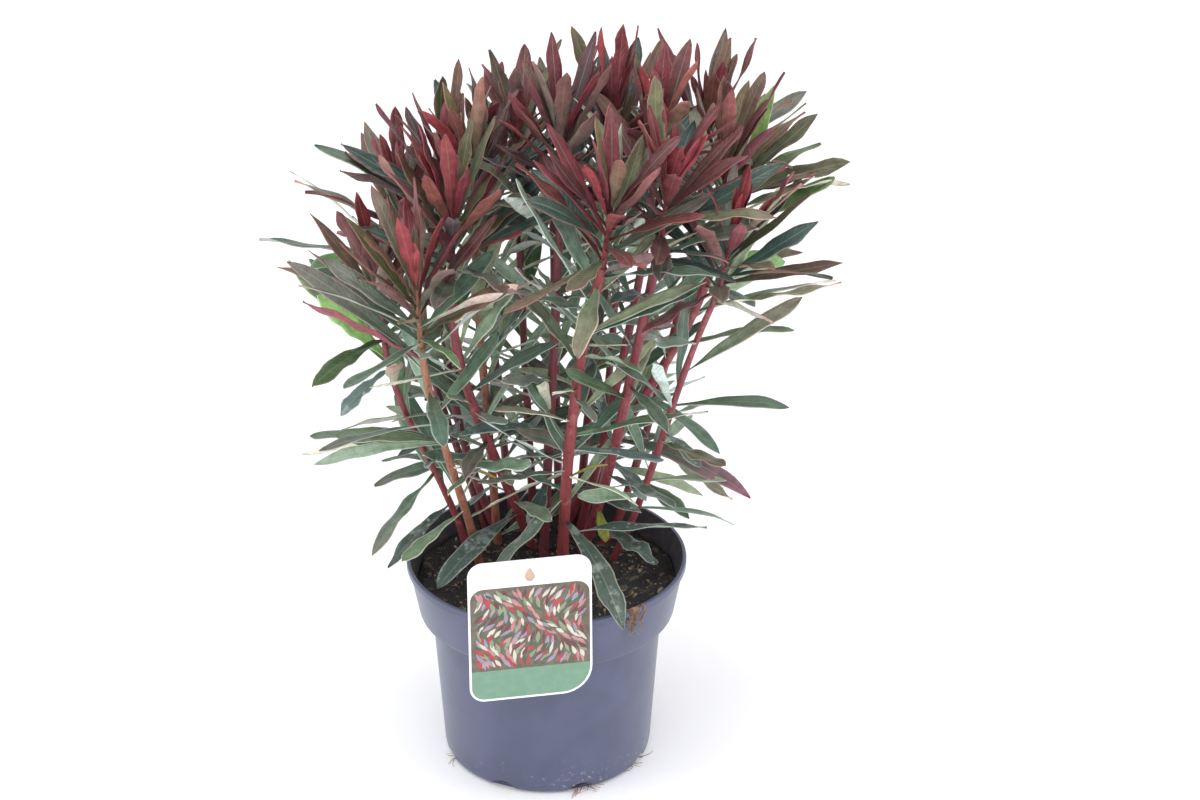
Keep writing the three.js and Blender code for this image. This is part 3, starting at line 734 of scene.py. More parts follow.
@dataclass
class Compost:
    """The filling: a crumbly surface over a plug that fills the pot, strewn with bark chips and coir."""

    pot: NurseryPot
    level: float = 131
    lump: float = 2.2
    crumb: float = 1.5
    gap: float = 0.7
    cells: int = 150
    chips: int = 520
    strands: int = 70
    skirt: float = 0.93
    skirt_drop: float = 2.2
    clear_of_wall: float = 9
    chip_size: Pair = (0.45, 0.8)
    largest_chip: float = 1.3
    chip_length: Pair = (1, 2.2)
    chip_thickness: Pair = (0.25, 0.6)
    chip_dent: float = 0.2
    strand_length: Pair = (4, 13)
    strand_girth: Pair = (0.16, 0.42)
    seed: int = 11

    def height(self, x: float, y: float) -> float:
        """The surface's height at a place: two broad waves, clods and crumbs.

        Args:
            x: To the right.
            y: To the back.

        Returns:
            The height over the floor.
        """
        broad = math.sin(x * 0.11 + 1.3) * math.cos(y * 0.09) + 0.6 * math.sin(x * 0.23 - y * 0.19) - 0.3
        clod = noise.fractal(Vector((x, y, 3.0)) / 9, 0.9, 2.1, 4)
        crumbs = noise.noise(Vector((x, y, 9.0)) / 2.6)
        return self.level + self.lump * broad + self.crumb * clod + 0.5 * self.crumb * crumbs

    def build(self, earth: Material, straw: Material, bark: Material) -> None:
        """Makes the filling and what lies on it.

        Args:
            earth: The compost.
            straw: Pale strands.
            bark: Darker chips.
        """
        self._plug(earth)
        self._litter(straw, bark)

    def _plug(self, earth: Material) -> None:
        """The filling itself: a square grid drawn round into a disc, with a skirt down the pot's wall.

        Args:
            earth: The compost.
        """
        bm = bmesh.new()
        radius = self.pot.inner_radius(self.level) - self.gap
        grid = bmesh.ops.create_grid(bm, x_segments=self.cells, y_segments=self.cells, size=1)
        for vert in grid["verts"]:
            across, along = vert.co.x, vert.co.y
            x = radius * across * math.sqrt(1 - along * along / 2)
            y = radius * along * math.sqrt(1 - across * across / 2)
            fall = max(0.0, math.hypot(x, y) / radius - self.skirt) / 0.07
            vert.co = Vector((x, y, self.height(x, y) - self.skirt_drop * fall * fall))
        for level in (self.pot.collar_bottom + 3, self.pot.collar_bottom - 3, self.pot.base_round):
            rim = [edge for edge in bm.edges if edge.is_boundary]
            inside = self.pot.inner_radius(level) - self.gap
            for vert in new_verts(bmesh.ops.extrude_edge_only(bm, edges=rim)):
                vert.co.xy = vert.co.xy.normalized() * inside
                vert.co.z = level
        bmesh.ops.holes_fill(bm, edges=[edge for edge in bm.edges if edge.is_boundary], sides=0)
        bmesh.ops.recalc_face_normals(bm, faces=bm.faces)
        finished_mesh("compost_filling", bm, [earth], "soil")

    def _spot(self, draw: random.Random) -> Pair:
        """A random place on the surface, clear of the wall.

        Args:
            draw: Where the random numbers come from.

        Returns:
            Its place to the right and to the back.
        """
        radius = (self.pot.inner_radius(self.level) - self.clear_of_wall) * math.sqrt(draw.random())
        angle = 2 * math.pi * draw.random()
        return radius * math.cos(angle), radius * math.sin(angle)

    def _litter(self, straw: Material, bark: Material) -> None:
        """Bark chips and coir strands, each half bedded in the surface.

        Args:
            straw: Pale strands.
            bark: Darker chips.
        """
        draw = random.Random(self.seed)
        bm = bmesh.new()
        for _ in range(self.chips):
            x, y = self._spot(draw)
            size = draw.uniform(*self.chip_size) + self.largest_chip * draw.random() ** 3
            spin = Matrix.Rotation(draw.uniform(0, math.pi), 4, Vector((draw.random(), draw.random(), 1.0)))
            long = size * draw.uniform(*self.chip_length)
            form = Matrix.Diagonal((long, size, size * draw.uniform(*self.chip_thickness), 1))
            place = Matrix.Translation((x, y, self.height(x, y) + 0.3)) @ spin @ form
            chip = bmesh.ops.create_icosphere(bm, subdivisions=1, radius=1, matrix=place)
            for vert in chip["verts"]:
                vert.co += Vector([draw.uniform(-self.chip_dent, self.chip_dent) * size for _ in range(3)])
        for face in bm.faces:
            face.material_index = 1
        for _ in range(self.strands):
            x, y = self._spot(draw)
            length, angle = draw.uniform(*self.strand_length), draw.uniform(0, 2 * math.pi)
            way = np.array([math.cos(angle), math.sin(angle), draw.uniform(-0.1, 0.35)]) * length
            start = np.array([x, y, self.height(x, y) + 0.2])
            bow = np.array([draw.uniform(-2, 2), draw.uniform(-2, 2), draw.uniform(0.5, 2)])
            path = smooth_path([start, start + way / 2 + bow, start + way], 6)
            girth = draw.uniform(*self.strand_girth)
            add_rod(bm, path, (girth, girth * 0.4), 4)
        finished_mesh("compost_litter", bm, (straw, bark))


@dataclass
class PlantLabel:
    """The plant label: a card pegged to the rim, printed with a plain leafy pattern and a green band."""

    pot: NurseryPot
    width: float = 82
    height: float = 102
    thickness: float = 0.8
    corner: float = 10
    big_corner: float = 20
    above: float = 52
    turn: float = 11
    lean: float = 2
    shift: float = -28
    hole_drop: float = 11
    clearance: float = 0.3
    ink_depth: float = 0.08
    peg_radius: float = 2.1
    peg_foot_z: float = 100
    peg_foot_radius: float = 66
    peg_knee: Pair = (9, 6)
    margin: float = 1.4
    header: float = 19
    band: float = 21
    ink_lift: float = 0.02
    petal_rows: int = 16
    petal_columns: int = 15
    petal_stray: float = 0.4
    petal_length: Pair = (3.2, 5.2)
    petal_breadth: Pair = (1.0, 1.6)
    petal_margin: float = 5.4
    grid_inset: Pair = (3.6, 2.6)
    clear_corner: float = 6
    drift: float = 50
    drift_stray: float = 16
    seed: int = 5

    ROUND = {"offset_type": "OFFSET", "affect": "VERTICES", "segments": 8, "profile": 0.5, "material": -1}

    def frame(self) -> tuple[Array, Array, Array, Array]:
        """Where the card's middle line touches the rim, and its own directions.

        Returns:
            The directions across, up and out of the face, and the seat.
        """
        turn, lean = math.radians(self.turn), math.radians(self.lean)
        out = np.array([math.sin(turn), -math.cos(turn), 0.0])
        across = np.array([math.cos(turn), math.sin(turn), 0.0])
        up = math.cos(lean) * UP - math.sin(lean) * out
        face = math.cos(lean) * out + math.sin(lean) * UP
        seat = out * (self.pot.rim_radius + self.clearance) + UP * (self.pot.height - 1)
        return across, up, face, seat + across * self.shift

    def _matrix(self, proud: float = 0.0) -> Matrix:
        """The card's own place, or one in front of it.

        Args:
            proud: How far in front of the card's back.

        Returns:
            The place.
        """
        across, up, face, seat = self.frame()
        place = np.eye(4)
        place[:3] = np.column_stack([across, up, face, seat + face * proud])
        return Matrix(place.tolist())

    def _panel(self, bm: Mesh, box: Sequence[float], corners: Sequence[float]) -> None:
        """Adds a flat rectangle with rounded corners.

        Args:
            bm: The mesh it is added to.
            box: Left, bottom, right and top.
            corners: The corners' radii, from the bottom left round to the top left.
        """
        left, bottom, right, top = box
        spots = ((left, bottom), (right, bottom), (right, top), (left, top))
        verts = [bm.verts.new((x, y, 0)) for x, y in spots]
        bm.faces.new(verts)
        for vert, radius in zip(verts, corners):
            if radius > 0:
                bmesh.ops.bevel(bm, geom=[vert], offset=radius, **self.ROUND)

    def build(self, card: Material, inks: dict[str, Material], peg: Material) -> None:
        """Makes the card, its print and its peg.

        Args:
            card: The white sheet.
            inks: The print's inks by name.
            peg: The peg's plastic.
        """
        self._card(card)
        self._print(inks)
        self._peg(peg)

    def _card(self, white: Material) -> None:
        """The card with its rounded corners.

        Args:
            white: The white sheet.
        """
        bm = bmesh.new()
        half, corner = self.width / 2, self.corner
        box = (-half, self.above - self.height, half, self.above)
        self._panel(bm, box, (corner, self.big_corner, corner, corner))
        lifted = new_verts(bmesh.ops.extrude_face_region(bm, geom=list(bm.faces)))
        bmesh.ops.translate(bm, vec=(0, 0, self.thickness), verts=lifted)
        bmesh.ops.recalc_face_normals(bm, faces=bm.faces)
        bmesh.ops.transform(bm, matrix=self._matrix(), verts=bm.verts)
        made = finished_mesh("label_sheet", bm, [white], "label_card")
        for face in made.data.polygons:
            face.use_smooth = False

    def _print(self, inks: dict[str, Material]) -> None:
        """The print: a picture panel of loose drifting petals over a green band.

        Args:
            inks: The print's inks by name.
        """
        draw = random.Random(self.seed)
        bm = bmesh.new()
        names = list(inks)
        half = self.width / 2 - self.margin
        low = self.above - self.height + self.margin
        high = self.above - self.header
        split = low + self.band
        corner, big_corner = self.corner - self.margin, self.big_corner - self.margin
        self._panel(bm, (-half, split, half, high), (0, 0, corner, corner))
        ground = list(bm.faces)
        self._panel(bm, (-half, low, half, split), (corner, big_corner, 0, 0))
        for face in bm.faces:
            face.material_index = names.index("ground" if face in ground else "band")
        loose = [name for name in names if name not in ("ground", "band")]
        keep, (inset_x, inset_y) = self.petal_margin, self.grid_inset
        for row in range(self.petal_rows):
            for column in range(self.petal_columns):
                across = column + draw.uniform(-self.petal_stray, self.petal_stray)
                upward = row + draw.uniform(-self.petal_stray, self.petal_stray)
                x = -half + inset_x + (2 * half - 2 * inset_x) * across / (self.petal_columns - 1)
                y = split + inset_y + (high - split - 2 * inset_y) * upward / (self.petal_rows - 1)
                x = min(max(x, -half + keep), half - keep)
                y = min(max(y, split + keep), high - keep)
                if half - abs(x) < self.clear_corner and high - y < self.clear_corner:
                    continue
                long, wide = draw.uniform(*self.petal_length), draw.uniform(*self.petal_breadth)
                stray = draw.uniform(-self.drift_stray, self.drift_stray)
                lean = math.radians(90 + self.drift * math.sin(x * 0.09 + y * 0.13) + stray)
                form = (
                    Matrix.Translation((x, y, self.ink_lift * (1 + draw.random())))
                    @ Matrix.Rotation(lean, 4, "Z")
                    @ Matrix.Diagonal((long, wide, 1, 1))
                )
                petal = bmesh.ops.create_circle(bm, segments=10, radius=1, cap_ends=True)["verts"]
                for vert in petal:
                    vert.co.y *= 1 - 0.5 * abs(vert.co.x)
                bmesh.ops.transform(bm, matrix=form, verts=petal)
                colour = names.index(loose[(2 * row + column + draw.randrange(2)) % len(loose)])
                for face in faces_of(petal):
                    face.material_index = colour
        for face in bm.faces:
            if face.normal.z < 0:
                face.normal_flip()
        bmesh.ops.transform(bm, matrix=self._matrix(self.thickness + self.ink_depth), verts=bm.verts)
        finished_mesh("label_print", bm, inks.values())

    def _peg(self, plastic: Material) -> None:
        """The peg, from the compost behind the rim to its drop-shaped head on the card.

        Args:
            plastic: The peg's plastic.
        """
        _, up, face, seat = self.frame()
        eye = seat + up * (self.above - self.hole_drop)
        front = eye + face * (self.thickness + self.clearance)
        foot = seat * np.array([1.0, 1.0, 0.0])
        foot = foot / np.linalg.norm(foot) * self.peg_foot_radius + UP * self.peg_foot_z
        knee = front - face * self.peg_knee[0] - UP * self.peg_knee[1]
        route = smooth_path([foot, (foot + knee) / 2, knee, front], 26)
        bm = bmesh.new()
        add_rod(bm, route, (self.peg_radius, self.peg_radius * 0.9), 12)
        head = bmesh.ops.create_uvsphere(bm, u_segments=20, v_segments=12, radius=1)["verts"]
        for vert in head:
            point = max(0.0, vert.co.y)
            vert.co.x *= 3.3 * (1 - 0.62 * point)
            vert.co.y *= 4.1 + 1.6 * point
            vert.co.z = 1.4 + 1.35 * vert.co.z
        shift = Matrix.Translation((0, self.above - self.hole_drop, 0))
        bmesh.ops.transform(bm, matrix=self._matrix(self.thickness + self.clearance) @ shift, verts=head)
        finished_mesh("label_peg_clip", bm, [plastic], "label_peg")


# ---- How the plant grows ----


@dataclass(frozen=True)
class LeafColours:
    """A leaf's colours from base to tip on its upper and under sides, how blunt its tip may be, and how
    chalky its dried drops are."""

    upper: tuple[str, str]
    under: tuple[str, str]
    blunt: float = 0.45
    drops: float = 0.0


class Flush(Enum):
    """The ages and tones that a leaf can have."""

    YOUNG = LeafColours(("#7B353B", "#78353B"), ("#9E414C", "#9E4851"), 0.8)
    ROSE = LeafColours(("#5C3B39", "#6D4042"), ("#994E55", "#A1565D"), 0.9)
    MAROON = LeafColours(("#473937", "#5C363C"), ("#854B51", "#8F4F57"), 0.8)
    BRONZE = LeafColours(("#5C5F45", "#73574B"), ("#9A6D65", "#A3615F"), 0.9)
    OLIVE = LeafColours(("#576843", "#6D664B"), ("#99927C", "#A5756F"), 0.9)
    TEAL = LeafColours(("#2F504A", "#364D47"), ("#8A8682", "#9D7070"), 0.9)
    TURNING = LeafColours(("#5D7A60", "#71695E"), ("#C1D0BD", "#C89996"), 0.8)
    MATURE = LeafColours(("#6B866C", "#657C68"), ("#DCE6D8", "#E2E6DA"), 1.2)
    BLUSHED = LeafColours(("#6E8A6F", "#7F7D71"), ("#D7E1D0", "#E5CBC4"), 1.0)
    OLD = LeafColours(("#546C62", "#4F625C"), ("#C2CDBF", "#C2CDBF"), 1.1, 1.0)
    DEEP = LeafColours(("#3B524A", "#3A4E48"), ("#B4C4B6", "#B4C4B6"), 0.9, 1.0)
    PURPLE = LeafColours(("#4A685A", "#8B5C76"), ("#9AAC9C", "#B2889E"), 0.9)
    # Pale grey-green, partly the leaf's own tone and partly painted light: the light caught by thin leaves
    # seen edge-on.
    PALE_AND_PAINTED_LIGHT = LeafColours(("#93AA8C", "#A3B49A"), ("#DEE8D6", "#E4EADC"), 0.8)
    GRASS = LeafColours(("#59794D", "#658157"), ("#B8C8A5", "#BECAA9"), 1.0)
    FRESH = LeafColours(("#88B266", "#9AC27A"), ("#BED2A8", "#C8D8B4"), 1.2)
    YELLOW = LeafColours(("#A9B84E", "#D3C055"), ("#B5BE6A", "#D6C66A"), 1.2)


@dataclass(frozen=True)
class Strip:
    """Samples along leaves: where each is, its own directions, its breadth and half its spacing."""

    points: Array
    forwards: Array
    sides: Array
    normals: Array
    widths: Array
    halves: Array

    def spots(self) -> Array:
        """The left edge, middle and right edge of each sample."""
        reach = self.sides * self.widths[:, None]
        return np.stack([self.points - reach, self.points, self.points + reach], axis=1)

    @cached_property
    def middle(self) -> Array:
        """The middle of its points."""
        return self.points.mean(axis=0)

    @cached_property
    def reach(self) -> float:
        """How far its points lie from their middle."""
        return float(np.linalg.norm(self.points - self.middle, axis=1).max())

    @staticmethod
    def joined(strips: Sequence[Strip]) -> Strip:
        """Several strips as one."""
        return Strip(*(np.concatenate([getattr(one, f.name) for one in strips]) for f in fields(Strip)))


@dataclass(frozen=True)
class Leaf:
    """A leaf's middle line: it springs from the axis at a pitch and bends on along its length."""

    root: Array
    axis: Array
    out: Array
    pitch: float
    bend: float
    length: float
    width: float
    roll: float
    share: float = 0.0
    flush: Flush = Flush.MATURE

    LONG = ((0.0, 0.36, 0.68, 1.0), (0.13, 0.74, 1.0, 0.0))
    SHORT = ((0.0, 0.58, 1.0), (0.13, 1.0, 0.0))
    SHORT_UNDER = 68

    def strip(self, shares: Array) -> Strip:
        """The leaf's middle line and directions at shares of its length.

        Args:
            shares: From 0 at the base to 1 at the tip.

        Returns:
            The samples.
        """
        turned = self.pitch + self.bend * shares
        if abs(self.bend) < 1e-4:
            rise, reach = math.cos(self.pitch) * shares, math.sin(self.pitch) * shares
        else:
            rise = (np.sin(turned) - math.sin(self.pitch)) / self.bend
            reach = (math.cos(self.pitch) - np.cos(turned)) / self.bend
        points = self.root + self.length * (np.outer(rise, self.axis) + np.outer(reach, self.out))
        forwards = np.outer(np.cos(turned), self.axis) + np.outer(np.sin(turned), self.out)
        flat = np.cross(self.axis, self.out)
        uppers = np.outer(np.sin(turned), self.axis) - np.outer(np.cos(turned), self.out)
        sides = flat * math.cos(self.roll) + uppers * math.sin(self.roll)
        normals = uppers * math.cos(self.roll) - flat * math.sin(self.roll)
        stations, breadths = self.SHORT if self.length < self.SHORT_UNDER else self.LONG
        widths = self.width * np.interp(shares, stations, breadths)
        return Strip(points, forwards, sides, normals, widths, np.zeros(len(shares)))

    def sampled(self, step: float) -> Strip:
        """The leaf's samples for the test of room, about a step apart.

        Args:
            step: The distance between samples.

        Returns:
            The samples.
        """
        count = max(4, math.ceil(self.length / step))
        strip = self.strip(np.arange(count + 1) / count)
        return replace(strip, halves=np.full(count + 1, self.length / count / 2))


@dataclass(frozen=True)
class Bezier:
    """A cubic curve measured along its length."""

    ends: tuple[Array, Array, Array, Array]
    DIVISIONS = 200

    def point(self, t: Array | float) -> Array:
        """The point at a value of the curve's own parameter.

        Args:
            t: The value, or several, from 0 to 1.

        Returns:
            One point for each value.
        """
        t = np.atleast_1d(np.asarray(t, float))[:, None]
        a, b, c, d = self.ends
        return (1 - t) ** 3 * a + 3 * (1 - t) ** 2 * t * b + 3 * (1 - t) * t**2 * c + t**3 * d

    def _lengths(self) -> Array:
        """The length up to each division."""
        points = self.point(np.linspace(0, 1, self.DIVISIONS + 1))
        return np.concatenate([[0.0], np.cumsum(np.linalg.norm(np.diff(points, axis=0), axis=1))])

    def length(self) -> float:
        """The curve's length."""
        return float(self._lengths()[-1])

    def parameter(self, share: Array | float) -> Array:
        """The parameter at a share of the length."""
        lengths = self._lengths()
        return np.interp(np.atleast_1d(share) * lengths[-1], lengths, np.linspace(0, 1, self.DIVISIONS + 1))

    def at(self, share: Array | float) -> Array:
        """The points at shares of the length."""
        return self.point(self.parameter(share))

    def tangent(self, t: float) -> Array:
        """The direction at a value of the parameter.

        Args:
            t: The value, from 0 to 1.

        Returns:
            The direction, of length 1.
        """
        near = np.clip([t - 1e-4, t + 1e-4], 0, 1)
        before, after = self.point(near)
        return (after - before) / np.linalg.norm(after - before)

    def tangent_at(self, share: float) -> Array:
        """The direction at a share of the length."""
        return self.tangent(float(self.parameter(share)[0]))


@dataclass(frozen=True)
class Straight:
    """A straight line with the same calls as a curve."""

    start: Array
    end: Array

    def length(self) -> float:
        """Its length."""
        return float(np.linalg.norm(self.end - self.start))

    def at(self, share: Array | float) -> Array:
        """The points at shares of the length."""
        return self.start + np.outer(np.atleast_1d(share), self.end - self.start)

    def tangent_at(self, share: float) -> Array:
        """Its direction, which is the same all along."""
        return (self.end - self.start) / self.length()


@dataclass(frozen=True)
class Stem:
    """A stem: its foot on the compost, the point where its crown starts, the shares of its sideways travel
    made at a third and two thirds of its height, its radius, leaf counts and skin colours."""

    name: str
    foot: Pair
    head: Triple
    bend: Pair
    radius: float
    green: int
    red: int
    skin: tuple[str, str] = ("#762428", "#8C383C")

    ROOT_DEPTH = 26
    CORE = 46
    CORE_GAP = 1
    CORE_UPRIGHT = 0.8

    @property
    def node(self) -> str:
        """The CAD node of the stem and its green leaves."""
        return f"stem_{self.name}"

    @property
    def crown(self) -> str:
        """The CAD node of its red crown."""
        return f"head_{self.name}"

    def curve(self, level: float) -> Bezier:
        """The stem's curve from below the surface to its head.

        Args:
            level: The height of the compost.

        Returns:
            The curve.
        """
        base = np.array([*self.foot, level - self.ROOT_DEPTH], float)
        top = np.array(self.head, float)
        travel = (top - base) * np.array([1.0, 1.0, 0.0])
        rise = (top - base) * UP
        low = base + travel * self.bend[0] + rise / 3
        high = base + travel * self.bend[1] + rise * 2 / 3
        return Bezier((base, low, high, top))

    def core(self, level: float) -> Straight:
        """The crown's straight core, above the stem's end and half way back to upright.

        Args:
            level: The height of the compost.

        Returns:
            The core.
        """
        curve = self.curve(level)
        lean = curve.tangent(1)
        axis = lean + self.CORE_UPRIGHT * UP
        axis /= np.linalg.norm(axis)
        start = curve.point(1)[0] + lean * self.CORE_GAP
        return Straight(start, start + axis * self.CORE)


CRIMSON = ("#8A3E46", "#924A53")
RUST = ("#9A6250", "#AA7A62")
WINE = ("#783E46", "#80444B")

STEMS = (
    Stem("01", (10, -6), (38, -50, 385), (0.05, 0.25), 4.1, 8, 18, ("#883A3C", "#904448")),
    Stem("02", (17, 46), (75, -28, 391), (0.5, 0.7), 3.9, 8, 16, CRIMSON),
    Stem("03", (34, 32), (112, -22, 352), (0.5, 0.6), 2.7, 7, 15, CRIMSON),
    Stem("04", (1, 66), (116, 32, 378), (0.22, 0.92), 4.0, 7, 16, CRIMSON),
    Stem("05", (-44, 24), (-79, -45, 326), (0.15, 0.85), 3.2, 7, 16, RUST),
    Stem("06", (-52, 31), (-106, 8, 303), (0, 0.9), 2.6, 7, 14, CRIMSON),
    Stem("07", (-22, 56), (-68, 62, 360), (0.9, 1.15), 3.3, 8, 16, WINE),
    Stem("08", (-6, 47), (-60, -8, 356), (0.25, 1.1), 3.8, 9, 17, CRIMSON),
    Stem("09", (-34, 44), (-46, 32, 376), (0.1, 1), 3.1, 6, 15, RUST),
    Stem("10", (-20, 69), (-40, 100, 354), (0.6, 1), 3.1, 6, 13, WINE),
    Stem("11", (-9, 71), (-18, 66, 384), (0.3, 0.9), 3.0, 6, 14, WINE),
    Stem("12", (-3, 34), (10, 22, 400), (0.2, 0.8), 3.6, 6, 16, WINE),
    Stem("13", (19, 69), (42, 70, 388), (0.3, 0.7), 3.3, 7, 15, WINE),
    Stem("14", (36, 49), (104, 84, 380), (0.45, 0.85), 3.0, 6, 14, CRIMSON),
    Stem("15", (30, 62), (50, 126, 352), (0.4, 0.9), 3.0, 6, 12, WINE),
    Stem("16", (8, 72), (4, 112, 364), (0.3, 0.8), 3.0, 6, 12, WINE),
    Stem("17", (16, 56), (70, 28, 395), (0.36, 0.8), 3.4, 7, 15, CRIMSON),
    Stem("18", (-34, 58), (-94, 78, 330), (0.35, 0.9), 2.8, 6, 13, WINE),
)


@dataclass(frozen=True)
class Lone:
    """A leaf with a place of its own: stem, height of the root, direction round the upright, pitch from it,
    bend, length, half width, roll and tone."""

    on: str
    height: float
    azimuth: float
    pitch: float
    bend: float
    length: float
    width: float
    roll: float
    flush: Flush = Flush.MATURE

    def leaf(self, curve: Bezier) -> Leaf:
        """The leaf on its stem's curve.

        Args:
            curve: The stem's curve.

        Returns:
            The leaf.
        """
        points = curve.at(np.linspace(0, 1, 201))
        root = points[int(np.argmin(np.abs(points[:, 2] - self.height)))]
        turn, pitch, bend, roll = map(math.radians, (self.azimuth, self.pitch, self.bend, self.roll))
        out = np.array([math.cos(turn), math.sin(turn), 0.0])
        return Leaf(root, UP, out, pitch, bend, self.length, self.width, roll, flush=self.flush)


LONE_LEAVES = (
    Lone("08", 162, -122, 80, 40, 96, 9, 0, Flush.DEEP),
    Lone("01", 180, -65, 88, 36, 107, 8.5, 8, Flush.DEEP),
    Lone("01", 200, -156, 128, 14, 70, 6.5, -10, Flush.OLD),
    Lone("12", 188, -111, 118, 20, 40, 7.5, 0, Flush.DEEP),
    Lone("01", 170, 3, 82, 16, 97, 6.5, 6, Flush.DEEP),
    Lone("02", 154, -38, 76, 16, 72, 8, 0, Flush.DEEP),
    Lone("14", 172, -50, 80, 22, 62, 6.5, 10, Flush.MATURE),
    Lone("17", 214, -24, 86, 30, 112, 6.8, 20, Flush.PURPLE),
    Lone("14", 200, -40, 95, 18, 80, 6, -24, Flush.BLUSHED),
    Lone("01", 236, 12, 97, 12, 66, 6, 0, Flush.OLD),
    Lone("02", 172, -75, 120, 10, 27, 4.5, 0, Flush.YELLOW),
    Lone("08", 190, -169, 56, 10, 38, 5, 20, Flush.YELLOW),
    Lone("01", 214, 2, 62, 8, 29, 5, -20, Flush.YELLOW),
    Lone("01", 224, -173, 60, -8, 72, 4.6, 30, Flush.MATURE),
    Lone("12", 204, -140, 54, -10, 50, 4.8, -25, Flush.MATURE),
    Lone("06", 200, -116, 95, 14, 90, 5.6, 12, Flush.BLUSHED),
    Lone("05", 246, 178, 80, 20, 62, 8.6, -32, Flush.OLD),
    Lone("06", 285, -145, 112, 18, 46, 6.6, 0, Flush.OLD),
    Lone("14", 358, -4, 33, -10, 114, 8.4, 62, Flush.FRESH),
    Lone("04", 312, -2, 70, 10, 98, 6.8, 0, Flush.BLUSHED),
    Lone("04", 284, -6, 70, 8, 82, 5.8, 0, Flush.MATURE),
    Lone("03", 262, 4, 84, 10, 78, 5.4, 12, Flush.MATURE),
    Lone("03", 240, -30, 112, 18, 34, 6.6, 0, Flush.OLD),
    Lone("01", 370, -101, 106, 20, 58, 8, 0, Flush.BLUSHED),
    Lone("04", 345, 20, 84, 10, 54, 8.6, 28, Flush.FRESH),
    Lone("18", 322, -174, 62, 24, 104, 6.6, 0, Flush.MATURE),
    Lone("05", 262, -156, 82, 18, 84, 5.8, 24, Flush.BLUSHED),
    Lone("05", 314, 176, 46, 6, 110, 7, -35, Flush.TURNING),
    Lone("05", 316, -162, 52, 6, 94, 6, 30, Flush.ROSE),
    Lone("06", 292, 178, 40, 10, 64, 8.6, -48, Flush.FRESH),
    Lone("14", 368, -8, 64, 8, 108, 6.8, 24, Flush.OLIVE),
    Lone("02", 386, -2, 70, 8, 114, 6.4, -24, Flush.BLUSHED),
    Lone("01", 246, -4, 72, 2, 94, 4.8, 20, Flush.MATURE),
    Lone("07", 362, 178, 64, 14, 96, 6, 0, Flush.BRONZE),
)


def seeded(seed: int) -> Iterator[float]:
    """Numbers from 0 to 1 that are the same on every run.

    Args:
        seed: The seed.

    Yields:
        The next number.
    """
    state = (seed * 2654435761 + 12345) & 0xFFFFFFFF
    while True:
        state = (state * 1664525 + 1013904223) & 0xFFFFFFFF
        yield state / 4294967296


def between(pair: Pair, share: float) -> float:
    """The value at a share of the way from the first of a pair to the second."""
    return pair[0] + (pair[1] - pair[0]) * share


@dataclass(frozen=True)
class Whorl:
    """A spiral of leaves, from its first to its last: shares of the axis, pitch and bend in degrees, length
    and half width in millimetres, and how far each strays."""

    span: Pair
    pitch: Pair
    length: Pair
    width: Pair
    bend: Pair
    ease: float
    crowding: float
    seed: int
    turn_stray: float = 15
    pitch_stray: float = 10
    length_stray: float = 0.15
    roll_stray: float = 20

    def leaves(self, count: int, index: int, curve: Bezier | Straight) -> list[Leaf]:
        """The spiral's leaves round a curve.

        Args:
            count: How many.
            index: The stem's place in the plant, which seeds the draw.
            curve: What they spring from.

        Returns:
            The leaves in order.
        """
        draw = seeded(self.seed + index)
        start = 360 * next(draw)
        made = []
        for i in range(count):
            share = i / (count - 1) if count > 1 else 0.0
            eased = share**self.ease
            place = between(self.span, share**self.crowding)
            axis = curve.tangent_at(place)
            turned, tilted, longer, wider, rolled = (2 * next(draw) - 1 for _ in range(5))
            azimuth = math.radians(start + GOLDEN_ANGLE * i + self.turn_stray * turned)
            level = np.array([math.cos(azimuth), math.sin(azimuth), 0.0])
            out = level - axis * float(level @ axis)
            out /= np.linalg.norm(out)
            pitch = math.radians(between(self.pitch, eased) + self.pitch_stray * tilted)
            bend = math.radians(between(self.bend, eased))
            length = between(self.length, eased) * (1 + self.length_stray * longer)
            width = between(self.width, eased) * (1 + 0.5 * self.length_stray * wider)
            roll = math.radians(self.roll_stray * rolled)
            made.append(Leaf(curve.at(place)[0], axis, out, pitch, bend, length, width, roll, share))
        return made


RED = Whorl((0.07, 0.97), (66, 19), (94, 67), (6.6, 4.8), (14, -4), 0.8, 1, 471)
GREEN = Whorl((0.97, 0.4), (48, 68), (94, 76), (6.3, 5.8), (6, 9), 1.3, 1.35, 452)
# The finer growth between the leaves of the solids.
MORE_RED = Whorl((0.05, 0.85), (70, 22), (94, 64), (6.4, 5.0), (14, -6), 0.9, 1, 300, 26, 12, 0.16, 36)
MORE_GREEN = Whorl((0.985, 0.34), (42, 68), (96, 66), (5.8, 5.2), (2, 10), 1.2, 1.1, 400, 30, 12, 0.2, 36)
# Slivers: narrow leaves, all in the pale flush, whose lightness is partly painted light.
SLIVER = Whorl((0.96, 0.3), (38, 58), (104, 80), (4.7, 4.0), (4, 12), 1, 1, 600, 40, 14, 0.15, 50)
LOW = Whorl((0.42, 0.12), (58, 76), (82, 58), (5.8, 5.4), (8, 22), 1, 1, 700, 50, 12, 0.2, 30)
HEART = Whorl((0.7, 1.0), (26, 4), (58, 38), (4.2, 3.0), (2, -6), 1, 1, 500, 24, 8, 0.16, 20)


@dataclass(frozen=True)
class Slab:
    """The thin room that a leaf keeps round itself, and its gap to a stem."""

    normal: float
    side: float
    end: float
    stem: float
    breadth: float


WIDE_ROOM = Slab(normal=2.9, side=0.9, end=0.5, stem=1.5, breadth=0.75)
CLOSE_ROOM = Slab(normal=1.1, side=0.2, end=0.2, stem=0.3, breadth=0.35)


